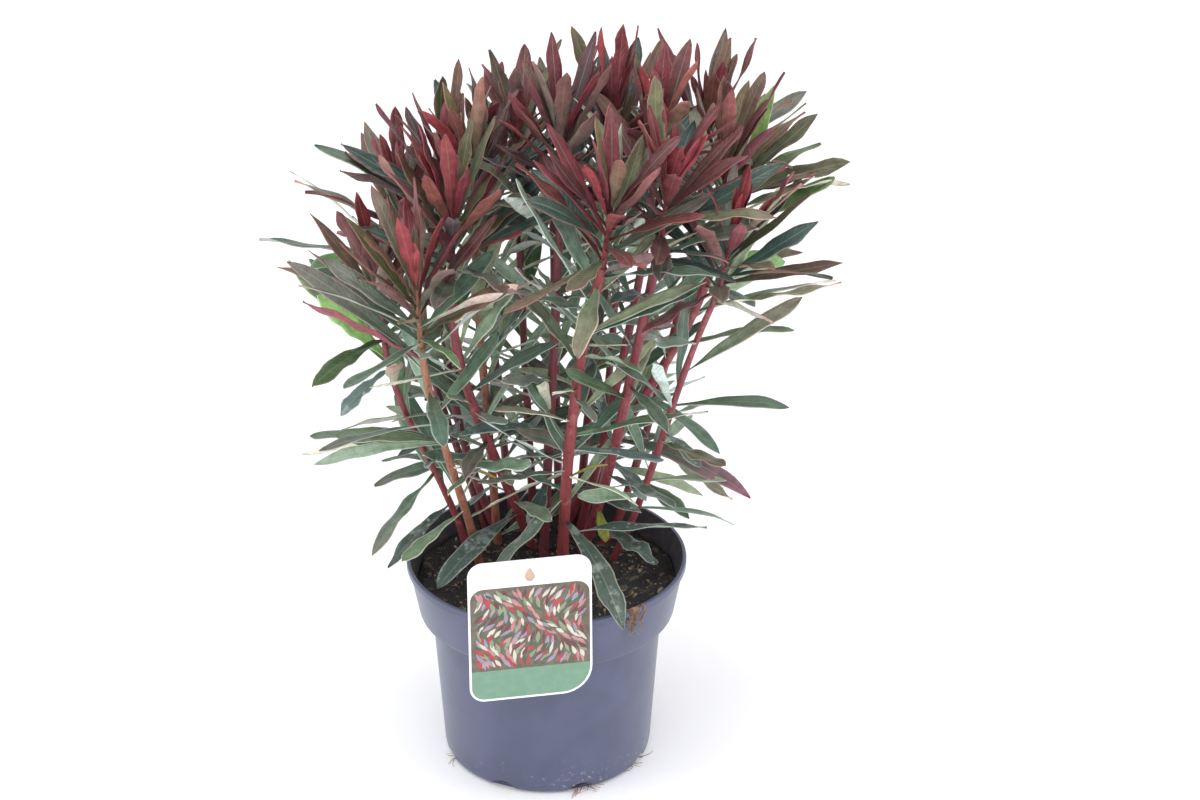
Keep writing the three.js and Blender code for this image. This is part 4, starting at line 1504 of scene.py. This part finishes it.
@dataclass
class Room:
    """What is placed already, so that a new leaf can look for a place beside it: each leaf's strip, the ball
    round it, and the stems and cores as rows of beads."""

    pot: NurseryPot
    level: float
    label: PlantLabel
    step: float = 5.5
    farthest: float = 20
    tries: int = 9
    aside: float = 9
    tilts: tuple[float, ...] = (0, -7, 6)
    shorter: float = 0.035
    mouth_margin: float = 5
    rim_margin: float = 6
    above_rim: float = 1.5
    above_soil: float = 5
    card_margin: float = 9
    droop: float = 0.3
    placed: list[tuple[str, Strip]] = field(default_factory=list)
    balls: list[Array] = field(default_factory=list)
    beads: list[tuple[str, Array, float]] = field(default_factory=list)

    def add_bar(self, owner: str, curve: Bezier | Straight, radius: float) -> None:
        """Notes a stem or a core as beads along it."""
        count = math.ceil(curve.length() / self.step)
        self.beads.append((owner, curve.at(np.linspace(0, 1, count + 1)), radius))

    def _in_slab(self, spots: Array, other: Strip, index: Array, slab: Slab) -> bool:
        """Whether any spot lies in the slab round its sample of the other strip.

        Args:
            spots: Three places across each sample of a leaf.
            other: The other strip.
            index: The other's sample beside each of the leaf's.
            slab: The room that it keeps.

        Returns:
            Whether one lies inside.
        """
        offset = spots - other.points[index][:, None, :]
        near = np.linalg.norm(offset, axis=2) <= self.farthest
        ways = (other.forwards, other.sides, other.normals)
        along, side, rise = (np.abs(np.einsum("ijk,ik->ij", offset, way[index])) for way in ways)
        inside = near & (rise < slab.normal)
        inside &= along < other.halves[index][:, None] + slab.end
        inside &= side < other.widths[index][:, None] + slab.side
        return bool(inside.any())

    def _touches(self, mine: Strip, owner: str, slab: Slab) -> bool:
        """Whether a leaf comes too near a leaf of another piece.

        Args:
            mine: The leaf.
            owner: Its CAD node.
            slab: The room that it keeps.

        Returns:
            Whether it does.
        """
        if not self.placed:
            return False
        balls = np.array(self.balls)
        gaps = np.linalg.norm(balls[:, :3] - mine.middle, axis=1) - balls[:, 3]
        near = (self.placed[i] for i in np.nonzero(gaps < mine.reach + self.farthest)[0])
        close = [strip for other, strip in near if other != owner]
        if not close:
            return False
        others = Strip.joined(close)
        distance = np.linalg.norm(mine.points[:, None] - others.points[None], axis=2)
        i, j = np.nonzero(distance <= self.farthest)
        if not i.size:
            return False
        inside = self._in_slab(mine.spots()[i], others, j, slab)
        return inside or self._in_slab(others.spots()[j], mine, i, slab)

    def _meets_bar(self, mine: Strip, owner: str, slab: Slab) -> bool:
        """Whether a leaf comes too near a stem or core that isn't its own.

        Args:
            mine: The leaf.
            owner: Its CAD node.
            slab: The room that it keeps.

        Returns:
            Whether it does.
        """
        own = (owner, owner.replace("head", "stem"))
        for bar, points, radius in self.beads:
            if bar in own:
                continue
            gaps = np.linalg.norm(mine.points[:, None] - points[None], axis=2).min(axis=1) - radius
            if (gaps < slab.stem + mine.widths * slab.breadth).any():
                return True
        return False

    def _meets_holder(self, mine: Strip) -> bool:
        """Whether a leaf runs into the compost, the pot's wall or the card, past its own base.

        Args:
            mine: The leaf.

        Returns:
            Whether it does.
        """
        points, widths = mine.points[1:], mine.widths[1:]
        reach = np.hypot(points[:, 0], points[:, 1])
        low = points[:, 2] - widths * self.droop
        mouth = self.pot.inner_radius(self.pot.height) - self.mouth_margin
        over_rim = (reach > mouth) & (reach < self.pot.rim_radius + self.rim_margin)
        across, up, face, seat = self.label.frame()
        offset = points - seat
        on_card = np.abs(offset @ across) < self.label.width / 2 + self.card_margin
        on_card &= offset @ up < self.label.above + self.card_margin
        on_card &= np.abs(offset @ face) < self.card_margin
        on_rim = over_rim & (low < self.pot.height + self.above_rim)
        on_soil = (reach <= mouth) & (low < self.level + self.above_soil)
        return bool((on_rim | on_soil | on_card).any())

    def settle(self, leaf: Leaf, owner: str, slab: Slab) -> Leaf | None:
        """Places a leaf, turned and tilted a little where it must be.

        Args:
            leaf: The leaf as its rule gives it.
            owner: The CAD node it belongs to.
            slab: The room that it keeps.

        Returns:
            The leaf in its place, or None where no try has room.
        """
        for turn in range(self.tries):
            swing = (1 if turn % 2 else -1) * math.ceil(turn / 2) * math.radians(self.aside)
            out = turned_about(leaf.out, leaf.axis, swing)
            pitch = leaf.pitch + math.radians(self.tilts[turn % len(self.tilts)])
            tried = replace(leaf, out=out, pitch=pitch, length=leaf.length * (1 - self.shorter * turn))
            mine = tried.sampled(self.step)
            blocked = self._meets_holder(mine) or self._meets_bar(mine, owner, slab)
            if not blocked and not self._touches(mine, owner, slab):
                self.placed.append((owner, mine))
                self.balls.append(np.array([*mine.middle, mine.reach]))
                return tried
        return None


def turned_about(vector: Array, axis: Array, angle: float) -> Array:
    """A vector turned about an axis.

    Args:
        vector: The vector.
        axis: The axis, of length 1.
        angle: In radians.

    Returns:
        The turned vector.
    """
    cosine, sine = math.cos(angle), math.sin(angle)
    return vector * cosine + np.cross(axis, vector) * sine + axis * float(axis @ vector) * (1 - cosine)


# ---- The plant's meshes ----


@dataclass(frozen=True)
class BarkRod:
    """A rod of stem: its middle line, its radii, its sides and its skin colours from foot to head."""

    centres: Array
    radii: Pair | Array
    sides: int
    skin: tuple[str, str]

    def build(self, name: str, material: Material, stands_for: str | None = None) -> None:
        """Makes the rod as a piece.

        Args:
            name: The piece's name.
            material: Its material.
            stands_for: The CAD node that it stands for.
        """
        bm = bmesh.new()
        tint = bm.verts.layers.float_color.new("bark_tint")
        low, high = (np.array(linear(colour)) for colour in self.skin)
        for i, vert in enumerate(add_rod(bm, self.centres, self.radii, self.sides)):
            share = (i // self.sides) / (len(self.centres) - 1)
            vert[tint] = low * (1 - share) + high * share
        bmesh.ops.recalc_face_normals(bm, faces=bm.faces)
        finished_mesh(name, bm, [material], stands_for)


@dataclass
class Foliage:
    """Leaf blades gathered into one mesh: each a thin sheet with a groove, waved edges and a pointed tip."""

    seed: int
    fullness: float = 1.0
    along: int = 16
    across: int = 4
    thickness: float = 0.5
    young_under: float = 44
    young_fold: float = 0.25
    widest: float = 0.7
    tip_crowding: float = 1.12
    groove: float = 0.05
    groove_breadth: float = 0.1
    ripple: Pair = (1.4, 3.2)
    ripple_lag: Pair = (0.6, 2.6)
    ripple_height: Pair = (0.06, 0.24)
    scallop: float = 0.12
    fold: Pair = (0.12, 0.34)
    twist: float = 22
    sickle: float = 0.035
    curl: Pair = (-0.05, 0.09)
    light: Pair = (0.69, 1.38)
    warmth: Pair = (-0.1, 0.12)
    blush: Pair = (0.6, 1.8)
    bm: Mesh = field(default_factory=bmesh.new)

    def __post_init__(self) -> None:
        """Prepares the mesh's layers."""
        self.draw = random.Random(self.seed)
        self.bm.loops.layers.uv.new("blade")
        self.upper = self.bm.verts.layers.float_color.new("upper_tint")
        self.under = self.bm.verts.layers.float_color.new("under_tint")
        self.drops = self.bm.verts.layers.float.new("drops")

    def outline(self, shares: Array, blunt: float) -> Array:
        """A blade's breadth along its length: a narrow base, widest past the middle, then a short tip.

        Args:
            shares: From 0 at the base to 1 at the tip.
            blunt: From 0, pointed, to 1, rounded.

        Returns:
            The breadth as a share of the greatest.
        """
        rising = np.clip(shares / self.widest, 0, 1)
        swell = 0.13 + 0.87 * (rising**1.5) * (2.5 - 1.5 * rising)
        falling = np.clip((shares - self.widest) / (1 - self.widest), 0, 1)
        power = 1.6 + 0.9 * blunt
        return np.clip(swell * (1 - falling**power) ** (0.9 - 0.25 * blunt), 0.035, None)

    def add(self, leaf: Leaf) -> None:
        """Adds one leaf's blade.

        Args:
            leaf: The leaf, in its place.
        """
        draw = self.draw
        young = leaf.length < self.young_under
        size = {"x_segments": 8 if young else self.along, "y_segments": self.across, "size": 1}
        grid = bmesh.ops.create_grid(self.bm, calc_uvs=True, **size)["verts"]
        flat = np.array([vert.co[:] for vert in grid])
        even, aside = (flat[:, 0] + 1) / 2, flat[:, 1]
        shares = 1 - (1 - even) ** self.tip_crowding
        strip = leaf.strip(shares)

        ripple = draw.uniform(*self.ripple)
        start = draw.uniform(0, 2 * math.pi)
        half = self.fullness * leaf.width * self.outline(shares, leaf.flush.value.blunt * draw.random())
        scallops = np.sin(2 * math.pi * (ripple * shares * 1.3) + start + 1.9 * aside)
        half = half * (1 + self.scallop * scallops)
        lag = draw.uniform(*self.ripple_lag) * np.sign(aside)
        height = 0.0 if young else draw.uniform(*self.ripple_height) * leaf.width
        wave = height * aside**2 * np.sin(2 * math.pi * ripple * shares + start + lag)
        fold = draw.uniform(*self.fold) + (self.young_fold if young else 0.0)
        trough = half * (fold * (np.abs(aside) - 0.35) * np.clip(1.2 - shares, 0.2, 1))
        groove = -self.groove * leaf.width * (np.abs(aside) < self.groove_breadth)
        twist = math.radians(draw.gauss(0, self.twist)) * shares**2
        sickle = leaf.length * draw.gauss(0, self.sickle) * shares**2
        curl = -leaf.length * draw.uniform(*self.curl) * np.clip(shares - 0.5, 0, 1) ** 2 * 4

        sideways = half * aside
        lifted = trough + wave + groove
        across = sideways * np.cos(twist) - lifted * np.sin(twist) + sickle
        upward = sideways * np.sin(twist) + lifted * np.cos(twist) + curl
        places = strip.points + strip.sides * across[:, None] + strip.normals * upward[:, None]

        for vert, place, upper, under in zip(grid, places, *self._tints(leaf.flush.value, shares)):
            vert.co = Vector(place)
            vert[self.upper] = upper
            vert[self.under] = under
            vert[self.drops] = leaf.flush.value.drops

    def _tints(self, colours: LeafColours, shares: Array) -> list[Array]:
        """The upper and under colours at each share, with the leaf's own tone.

        Args:
            colours: The leaf's colours.
            shares: Where along the leaf, from 0 to 1.

        Returns:
            The upper side's and the under side's.
        """
        light, warm = self.draw.uniform(*self.light), self.draw.uniform(*self.warmth)
        tone = np.array([light * (1 + warm), light, light * (1 - warm), 1.0])
        part = (shares ** self.draw.uniform(*self.blush))[:, None]
        ends = [[np.array(linear(colour)) for colour in side] for side in (colours.upper, colours.under)]
        return [(base * (1 - part) + tip * part) * tone for base, tip in ends]

    def finish(self, name: str, skins: Sequence[Material], stands_for: str) -> None:
        """Turns the blades into a piece with real thickness.

        Args:
            name: The piece's name.
            skins: The upper and under sides' materials.
            stands_for: The CAD node that it stands for.
        """
        made = finished_mesh(name, self.bm, skins, stands_for)
        body = made.modifiers.new("thickness", "SOLIDIFY")
        body.thickness = self.thickness * MM
        body.offset = -1
        body.material_offset = 1


# Which crowns are rosy or leafy, where a crown's bands end, and between which heights a stem's middle lies.
ROSY_STEMS = {"01", "02", "03", "08"}
LEAFY_STEMS = {"04", "05", "06", "14", "18"}
OUTER_TO = 0.36
MIDDLE_TO = 0.75
LOW_TO = 235
HIGH_FROM = 335


class Tone(Enum):
    """How a crown is coloured: the flushes of its outer, middle and inner leaves."""

    ROSY = (
        (Flush.TEAL, Flush.ROSE, Flush.BRONZE, Flush.TEAL, Flush.TURNING),
        (Flush.ROSE, Flush.OLIVE, Flush.TEAL, Flush.BRONZE, Flush.YOUNG, Flush.ROSE),
        (Flush.YOUNG, Flush.ROSE, Flush.YOUNG, Flush.OLIVE),
    )
    DUSKY = (
        (Flush.TEAL, Flush.MAROON, Flush.TEAL, Flush.TURNING, Flush.MATURE),
        (Flush.MAROON, Flush.ROSE, Flush.TEAL, Flush.OLIVE, Flush.BRONZE),
        (Flush.YOUNG, Flush.MAROON, Flush.ROSE, Flush.BRONZE, Flush.OLIVE),
    )
    LEAFY = (
        (Flush.GRASS, Flush.TURNING, Flush.MATURE, Flush.BRONZE, Flush.BLUSHED, Flush.GRASS),
        (Flush.BRONZE, Flush.ROSE, Flush.OLIVE, Flush.TURNING),
        (Flush.ROSE, Flush.YOUNG, Flush.BRONZE),
    )

    @classmethod
    def of(cls, stem: Stem) -> Tone:
        """The tone of a stem's crown."""
        return cls.ROSY if stem.name in ROSY_STEMS else cls.LEAFY if stem.name in LEAFY_STEMS else cls.DUSKY

    def flush(self, share: float, draw: random.Random) -> Flush:
        """A flush for a leaf at a share of its crown."""
        band = 0 if share < OUTER_TO else 1 if share < MIDDLE_TO else 2
        return draw.choice(self.value[band])


class StemTone(Enum):
    """The flushes of a stem's green leaves by their height on it."""

    LOW = (Flush.OLD, Flush.MATURE, Flush.OLD, Flush.MATURE, Flush.TURNING)
    MIDDLE = (Flush.MATURE, Flush.BLUSHED, Flush.MATURE, Flush.PALE_AND_PAINTED_LIGHT, Flush.TURNING, Flush.GRASS)
    HIGH = (Flush.TURNING, Flush.TEAL, Flush.MATURE, Flush.BLUSHED)
    HIGH_LEAFY = (Flush.TURNING, Flush.GRASS, Flush.BLUSHED, Flush.MATURE, Flush.GRASS)

    @classmethod
    def of(cls, stem: Stem, height: float) -> StemTone:
        """The tone at a height on a stem.

        Args:
            stem: The stem.
            height: The height over the floor.

        Returns:
            The tone.
        """
        if height < LOW_TO:
            return cls.LOW
        if height <= HIGH_FROM:
            return cls.MIDDLE
        return cls.HIGH_LEAFY if stem.name in LEAFY_STEMS else cls.HIGH


@dataclass
class Plant:
    """Every stem with its skin, its green leaves and its red crown.

    Counts in pairs are for a stem at a side of the plant and for one further in.
    """

    pot: NurseryPot
    compost: Compost
    label: PlantLabel
    sides: int = 12
    rings: int = 36
    taper: float = 0.78
    swell: float = 0.05
    core_sides: int = 10
    core_rings: int = 8
    core_radius: float = 2.3
    core_taper: float = 0.45
    heart: int = 4
    side_from: float = 69
    back_from: float = 55
    fewer_red: int = 8
    fewer_green: int = 4
    more_at_back: int = 5
    slivers: tuple[int, int] = (3, 9)
    low_leaves: tuple[int, int] = (1, 3)
    green_fullness: float = 0.93
    red_fullness: float = 1.0
    seed: int = 3

    def __post_init__(self) -> None:
        """Prepares the room, with every stem and core in it."""
        self.level = self.compost.level
        self.draw = random.Random(self.seed)
        self.leaves: dict[str, list[Leaf]] = {node: [] for stem in STEMS for node in (stem.node, stem.crown)}
        self.room = Room(self.pot, self.level, self.label)
        for stem in STEMS:
            self.room.add_bar(stem.node, stem.curve(self.level), stem.radius)
            self.room.add_bar(stem.crown, stem.core(self.level), self.core_radius)

    def _place(self, node: str, wanted: Iterable[Leaf], slab: Slab) -> None:
        """Settles leaves on a CAD node, as far as there is room."""
        settled = (self.room.settle(leaf, node, slab) for leaf in wanted)
        self.leaves[node].extend(leaf for leaf in settled if leaf)

    def _crown(self, stem: Stem, rule: Whorl, count: int, slab: Slab) -> None:
        """Grows a spiral on a stem's core.

        Args:
            stem: The stem.
            rule: The spiral's rule.
            count: How many leaves.
            slab: The room that it keeps.
        """
        tone = Tone.of(stem)
        found = rule.leaves(count, STEMS.index(stem), stem.core(self.level))
        shares = [1.0 if rule is HEART else leaf.share for leaf in found]
        wanted = [replace(leaf, flush=tone.flush(share, self.draw)) for leaf, share in zip(found, shares)]
        self._place(stem.crown, wanted, slab)

    def _green(self, stem: Stem, rule: Whorl, count: int, slab: Slab) -> None:
        """Grows a spiral on a stem.

        Args:
            stem: The stem.
            rule: The spiral's rule.
            count: How many leaves.
            slab: The room that it keeps.
        """
        wanted = []
        for leaf in rule.leaves(count, STEMS.index(stem), stem.curve(self.level)):
            tone = StemTone.of(stem, leaf.root[2])
            # Slivers always take the pale flush, whose lightness is partly painted light.
            flush = Flush.PALE_AND_PAINTED_LIGHT if rule is SLIVER else self.draw.choice(tone.value)
            wanted.append(replace(leaf, flush=flush))
        self._place(stem.node, wanted, slab)

    def grow(self) -> None:
        """Gives each leaf its place, by the same rule as the solids and then for the finer growth."""
        for stem in STEMS:
            curve = stem.curve(self.level)
            wanted = [one.leaf(curve) for one in LONE_LEAVES if one.on == stem.name]
            self._place(stem.node, wanted, WIDE_ROOM)
        for stem in STEMS:
            self._crown(stem, RED, stem.red, WIDE_ROOM)
        for stem in STEMS:
            self._green(stem, GREEN, stem.green, WIDE_ROOM)
        log.info("leaves as in the solids: %d", sum(map(len, self.leaves.values())))
        for stem in STEMS:
            self._crown(stem, HEART, self.heart, CLOSE_ROOM)
        for stem in STEMS:
            inside = not self._at_side(stem)
            self._crown(stem, MORE_RED, stem.red - self.fewer_red, CLOSE_ROOM)
            self._green(stem, MORE_GREEN, self._extra_green(stem), CLOSE_ROOM)
            self._green(stem, SLIVER, self.slivers[inside], CLOSE_ROOM)
        for stem in STEMS:
            hidden = not self._at_side(stem) and stem.foot[1] >= 0
            self._green(stem, LOW, self.low_leaves[hidden], CLOSE_ROOM)
        log.info("leaves in all: %d", sum(map(len, self.leaves.values())))

    def _at_side(self, stem: Stem) -> bool:
        """Whether a stem stands at a side of the plant, where it is open."""
        return abs(stem.head[0]) > self.side_from

    def _extra_green(self, stem: Stem) -> int:
        """How many finer leaves a stem gets: fewest at the sides, most at the back.

        Args:
            stem: The stem.

        Returns:
            The count.
        """
        if self._at_side(stem):
            return stem.green - self.fewer_green
        return stem.green + (self.more_at_back if stem.foot[1] > self.back_from else 0)

    def _bark(self, stem: Stem, skin: Material) -> None:
        """A stem's own rod, with a slight swelling where each leaf springs.

        Args:
            stem: The stem.
            skin: Its material.
        """
        shares = np.linspace(0, 1, self.rings)
        swell = 1 + self.swell * np.sin(shares * 40 + float(stem.name))
        radii = stem.radius * (1 + (self.taper - 1) * shares) * swell
        rod = BarkRod(stem.curve(self.level).at(shares), radii, self.sides, stem.skin)
        rod.build(f"{stem.node}_skin", skin, stem.node)

    def _core(self, stem: Stem, skin: Material) -> None:
        """The stem's own end inside its crown.

        Args:
            stem: The stem.
            skin: Its material.
        """
        shares = np.linspace(0, 1, self.core_rings)
        radii = self.core_radius * (1 + (self.core_taper - 1) * shares)
        rod = BarkRod(stem.core(self.level).at(shares), radii, self.core_sides, (stem.skin[1], stem.skin[1]))
        rod.build(f"{stem.crown}_core", skin, stem.crown)

    def build(self, skin: Material, sides: Sequence[Material]) -> None:
        """Makes every stem and crown.

        Args:
            skin: The stems' material.
            sides: The materials of a leaf's upper and under sides.
        """
        self.grow()
        for i, stem in enumerate(STEMS):
            self._bark(stem, skin)
            self._core(stem, skin)
            self._leaves(stem.node, Foliage(2 * i, self.green_fullness), sides, "green_leaf")
            self._leaves(stem.crown, Foliage(2 * i + 1, self.red_fullness), sides, "red_leaf")

    def _leaves(self, node: str, foliage: Foliage, sides: Sequence[Material], slot: str) -> None:
        """Makes the leaves of one CAD node.

        Args:
            node: The CAD node.
            foliage: The empty mesh for them.
            sides: The materials of a leaf's upper and under sides.
            slot: A material slot's name; not used.
        """
        for leaf in self.leaves[node]:
            foliage.add(leaf)
        foliage.finish(f"{node}_leaves", sides, node)


@dataclass
class StrayRoots:
    """Fine roots that have found the drainage notches, a tuft caught on the rim, and a cut stub."""

    pot: NurseryPot
    compost: Compost
    seed: int = 21
    wisps: tuple[tuple[int, int], ...] = ((0, 11), (1, 5), (6, 4), (3, 3))
    wisp_spread: float = 6
    wisp_girth: Pair = (0.16, 0.32)
    tuft_strands: int = 34
    tuft_at: float = -51
    tuft_spread: float = 1.7
    tuft_drop: Pair = (8, 25)
    tuft_girth: Pair = (0.18, 0.38)
    stub: tuple[Triple, ...] = ((30, 42, -6), (39, 42, 3), (52, 44, 11))
    stub_radius: Pair = (2.6, 2.2)
    stub_colour: str = "#8C3438"

    def build(self, root: Material, moss: Material, skin: Material) -> None:
        """Makes the roots, the tuft and the stub.

        Args:
            root: Fine live roots.
            moss: The dry tuft.
            skin: The stems' material.
        """
        self._roots(root)
        self._tuft(moss)
        self._stub(skin)

    def _wisp(self, bm: Mesh, draw: random.Random, angle: float, height: float) -> None:
        """Adds one fine root that wanders out of a notch and down to the surface.

        Args:
            bm: The mesh it is added to.
            draw: Where the random numbers come from.
            angle: The direction of its notch, in degrees.
            height: Where it leaves the notch.
        """
        points = [np.array([self.pot.base_radius - 6, 0, height])]
        heading = np.array([draw.uniform(0.7, 1.0), draw.uniform(-0.6, 0.6), draw.uniform(-0.3, 0.1)])
        for _ in range(5):
            heading += np.array([draw.uniform(-0.25, 0.1), draw.uniform(-0.5, 0.5), draw.uniform(-0.5, 0.2)])
            step = points[-1] + heading / np.linalg.norm(heading) * draw.uniform(2, 4.2)
            step[2] = max(step[2], 0.5)
            points.append(step)
        cosine, sine = math.cos(math.radians(angle)), math.sin(math.radians(angle))
        spin = np.array([[cosine, -sine, 0], [sine, cosine, 0], [0, 0, 1]])
        girth = draw.uniform(*self.wisp_girth)
        path = smooth_path(points, 16) @ spin.T
        path[:, 2] = np.maximum(path[:, 2], girth + 0.1)
        add_rod(bm, path, (girth, girth * 0.45), 4)

    def _roots(self, root: Material) -> None:
        """Wisps at some of the notches.

        Args:
            root: Fine live roots.
        """
        draw = random.Random(self.seed)
        bm = bmesh.new()
        step = 360 / self.pot.notches
        for notch, count in self.wisps:
            for _ in range(count):
                aside = draw.uniform(-self.wisp_spread, self.wisp_spread)
                angle = self.pot.first_notch + step * notch + aside
                self._wisp(bm, draw, angle, draw.uniform(0.8, self.pot.notch_height - 1.5))
        finished_mesh("stray_roots", bm, [root])

    def _tuft(self, moss: Material) -> None:
        """Dry strands caught on the rim: they lie over the lip and hang down the collar.

        Args:
            moss: The dry tuft.
        """
        draw = random.Random(self.seed + 1)
        bm = bmesh.new()
        rim, top = self.pot.rim_radius, self.pot.height
        for _ in range(self.tuft_strands):
            turn = math.radians(self.tuft_at + draw.gauss(0, self.tuft_spread))
            drop = draw.uniform(*self.tuft_drop)
            side = [(rim - 5, top - 3), (rim - 1.5, top + 0.5), (rim + 0.7, top - 1.5)]
            side += [(rim - 0.4 - 1.8 * h + draw.random(), top - h * drop) for h in (0.35, 0.6, 0.8, 1)]
            turns = [turn + math.radians(draw.gauss(0, 0.75)) for _ in side]
            points = [(r * math.cos(a), r * math.sin(a), z) for (r, z), a in zip(side, turns)]
            girth = draw.uniform(*self.tuft_girth)
            add_rod(bm, smooth_path(points, 16), (girth, girth * 0.5), 4)
        finished_mesh("rim_tuft", bm, [moss])

    def _stub(self, skin: Material) -> None:
        """An old shoot that was cut back, leaning out of the compost beside the clump."""
        path = smooth_path(np.array(self.stub) + UP * self.compost.level, 9)
        BarkRod(path, self.stub_radius, 12, (self.stub_colour, self.stub_colour)).build("cut_stub", skin)


# ---- Studio ----


@dataclass(frozen=True)
class Softbox:
    """A square soft light on the plant's middle: its place and side in metres, its power in watts."""

    name: str
    place: Triple
    size: float
    power: float
    aim: Triple = (0, 0, 0.25)

    def build(self) -> None:
        """Makes the light."""
        data = bpy.data.lights.new(self.name, "AREA")
        data.shape = "SQUARE"
        data.size = self.size
        data.energy = self.power
        made = bpy.data.objects.new(self.name, data)
        made.location = self.place
        heading = Vector(self.aim) - Vector(self.place)
        made.rotation_euler = heading.to_track_quat("-Z", "Y").to_euler()
        bpy.context.scene.collection.objects.link(made)


@dataclass
class Studio:
    """A white seamless sheet under soft light, and the camera."""

    eye: Triple = (36.3, -2170.25, 1367.18)
    tilt_down: float = 26.92
    lens: float = 110
    sensor: float = 36
    clip: Pair = (0.05, 40)
    floor_half: float = 4500
    sky: float = 1.0
    sky_colour: str = "#FDFDFF"
    lights: tuple[Softbox, ...] = (
        Softbox("overhead softbox", (-0.25, -0.5, 2.2), 1.5, 16),
        Softbox("left softbox", (-1.7, -0.4, 0.9), 1.1, 7),
        Softbox("right softbox", (1.7, -0.3, 0.8), 1.1, 7),
        Softbox("low front softbox", (0.1, -2.3, 0.3), 1.3, 16),
    )

    def camera(self) -> None:
        """Makes the camera, looking along +Y and down."""
        data = bpy.data.cameras.new("camera")
        data.lens = self.lens
        data.sensor_width = self.sensor
        data.clip_start, data.clip_end = self.clip
        made = bpy.data.objects.new("camera", data)
        made.location = Vector(self.eye) * MM
        made.rotation_euler = (math.radians(90 - self.tilt_down), 0, 0)
        bpy.context.scene.collection.objects.link(made)
        bpy.context.scene.camera = made

    def build(self, sheet: Material) -> None:
        """Makes the floor, the lights and the sky.

        Args:
            sheet: The floor's material.
        """
        bm = bmesh.new()
        bmesh.ops.create_grid(bm, x_segments=2, y_segments=2, size=self.floor_half)
        floor = in_scene("studio_sheet", bm)
        floor.data.materials.append(sheet)

        world = bpy.data.worlds.new("white studio")
        bpy.context.scene.world = world
        world.use_nodes = True
        world.node_tree.nodes.clear()
        node = partial(add_node, world.node_tree)
        sky = node("Background", {"Color": linear(self.sky_colour), "Strength": self.sky})
        node("OutputWorld", (sky,))
        for light in self.lights:
            light.build()

        view = bpy.context.scene.view_settings
        view.view_transform = "Standard"
        view.look = "None"


def main() -> None:
    """Builds the part, its finishes and the studio in order."""
    logging.basicConfig(level=logging.INFO, format="%(name)s: %(message)s")
    studio = Studio()
    studio.camera()
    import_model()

    pot = NurseryPot()
    compost = Compost(pot)
    label = PlantLabel(pot)
    plant = Plant(pot, compost, label)

    # The inside wall takes a plastic whose colour is painted shade.
    pot.build(PotPlastic().build(), shade_painted_plastic().build())
    straw = dry_fibre("dry coir strands", "#A8977A", "#6E6048").build()
    bark = dry_fibre("bark and husk flakes", "#B8A684", "#4A4036", 5).build()
    compost.build(MoistCompost().build(), straw, bark)

    inks = {
        "ground": card_ink("ink, mossy brown", "#595144", "#6C6556"),
        "band": card_ink("ink, soft green", "#6C8F79", "#72967E"),
        "crimson": card_ink("ink, crimson", "#A0343A", "#AA444A"),
        "rose": card_ink("ink, rose", "#B07276", "#BC888A"),
        "leaf": card_ink("ink, leaf green", "#42553D", "#4E6147"),
        "cream": card_ink("ink, cream", "#C2BEAE", "#CECABC"),
        "lilac": card_ink("ink, lilac grey", "#8C8296", "#9A90A4"),
        "moss": card_ink("ink, light moss", "#7E8C70", "#8A977C"),
        "maroon": card_ink("ink, maroon", "#5E3236", "#683C3E"),
    }
    white = card_ink("white polystyrene sheet", "#F8F4FA", "#FAF7FC").build()
    clip = card_ink("beige polypropylene clip", "#B89C86", "#C4AA94", 0.4).build()
    label.build(white, {name: ink.build() for name, ink in inks.items()}, clip)

    skin = StemBark().build()
    upper = LeafSkin("leaf, waxy upper side", "upper_tint", "#A2AE96", 0.34, 0.6, 0.32, 0.13, 0.05)
    under = LeafSkin("leaf, matt under side", "under_tint", "#C8A69A", 0.3, 0.0, 0.55, 0.2, 0.06)
    plant.build(skin, (upper.build(), under.build()))
    root = dry_fibre("fine live roots", "#9A6A58", "#6E3A38", 5).build()
    moss = dry_fibre("dry moss and root tuft", "#A58468", "#6B4E40", 4).build()
    StrayRoots(pot, compost).build(root, moss, skin)
    studio.build(StudioFloor().build())


if __name__ == "__main__":
    main()
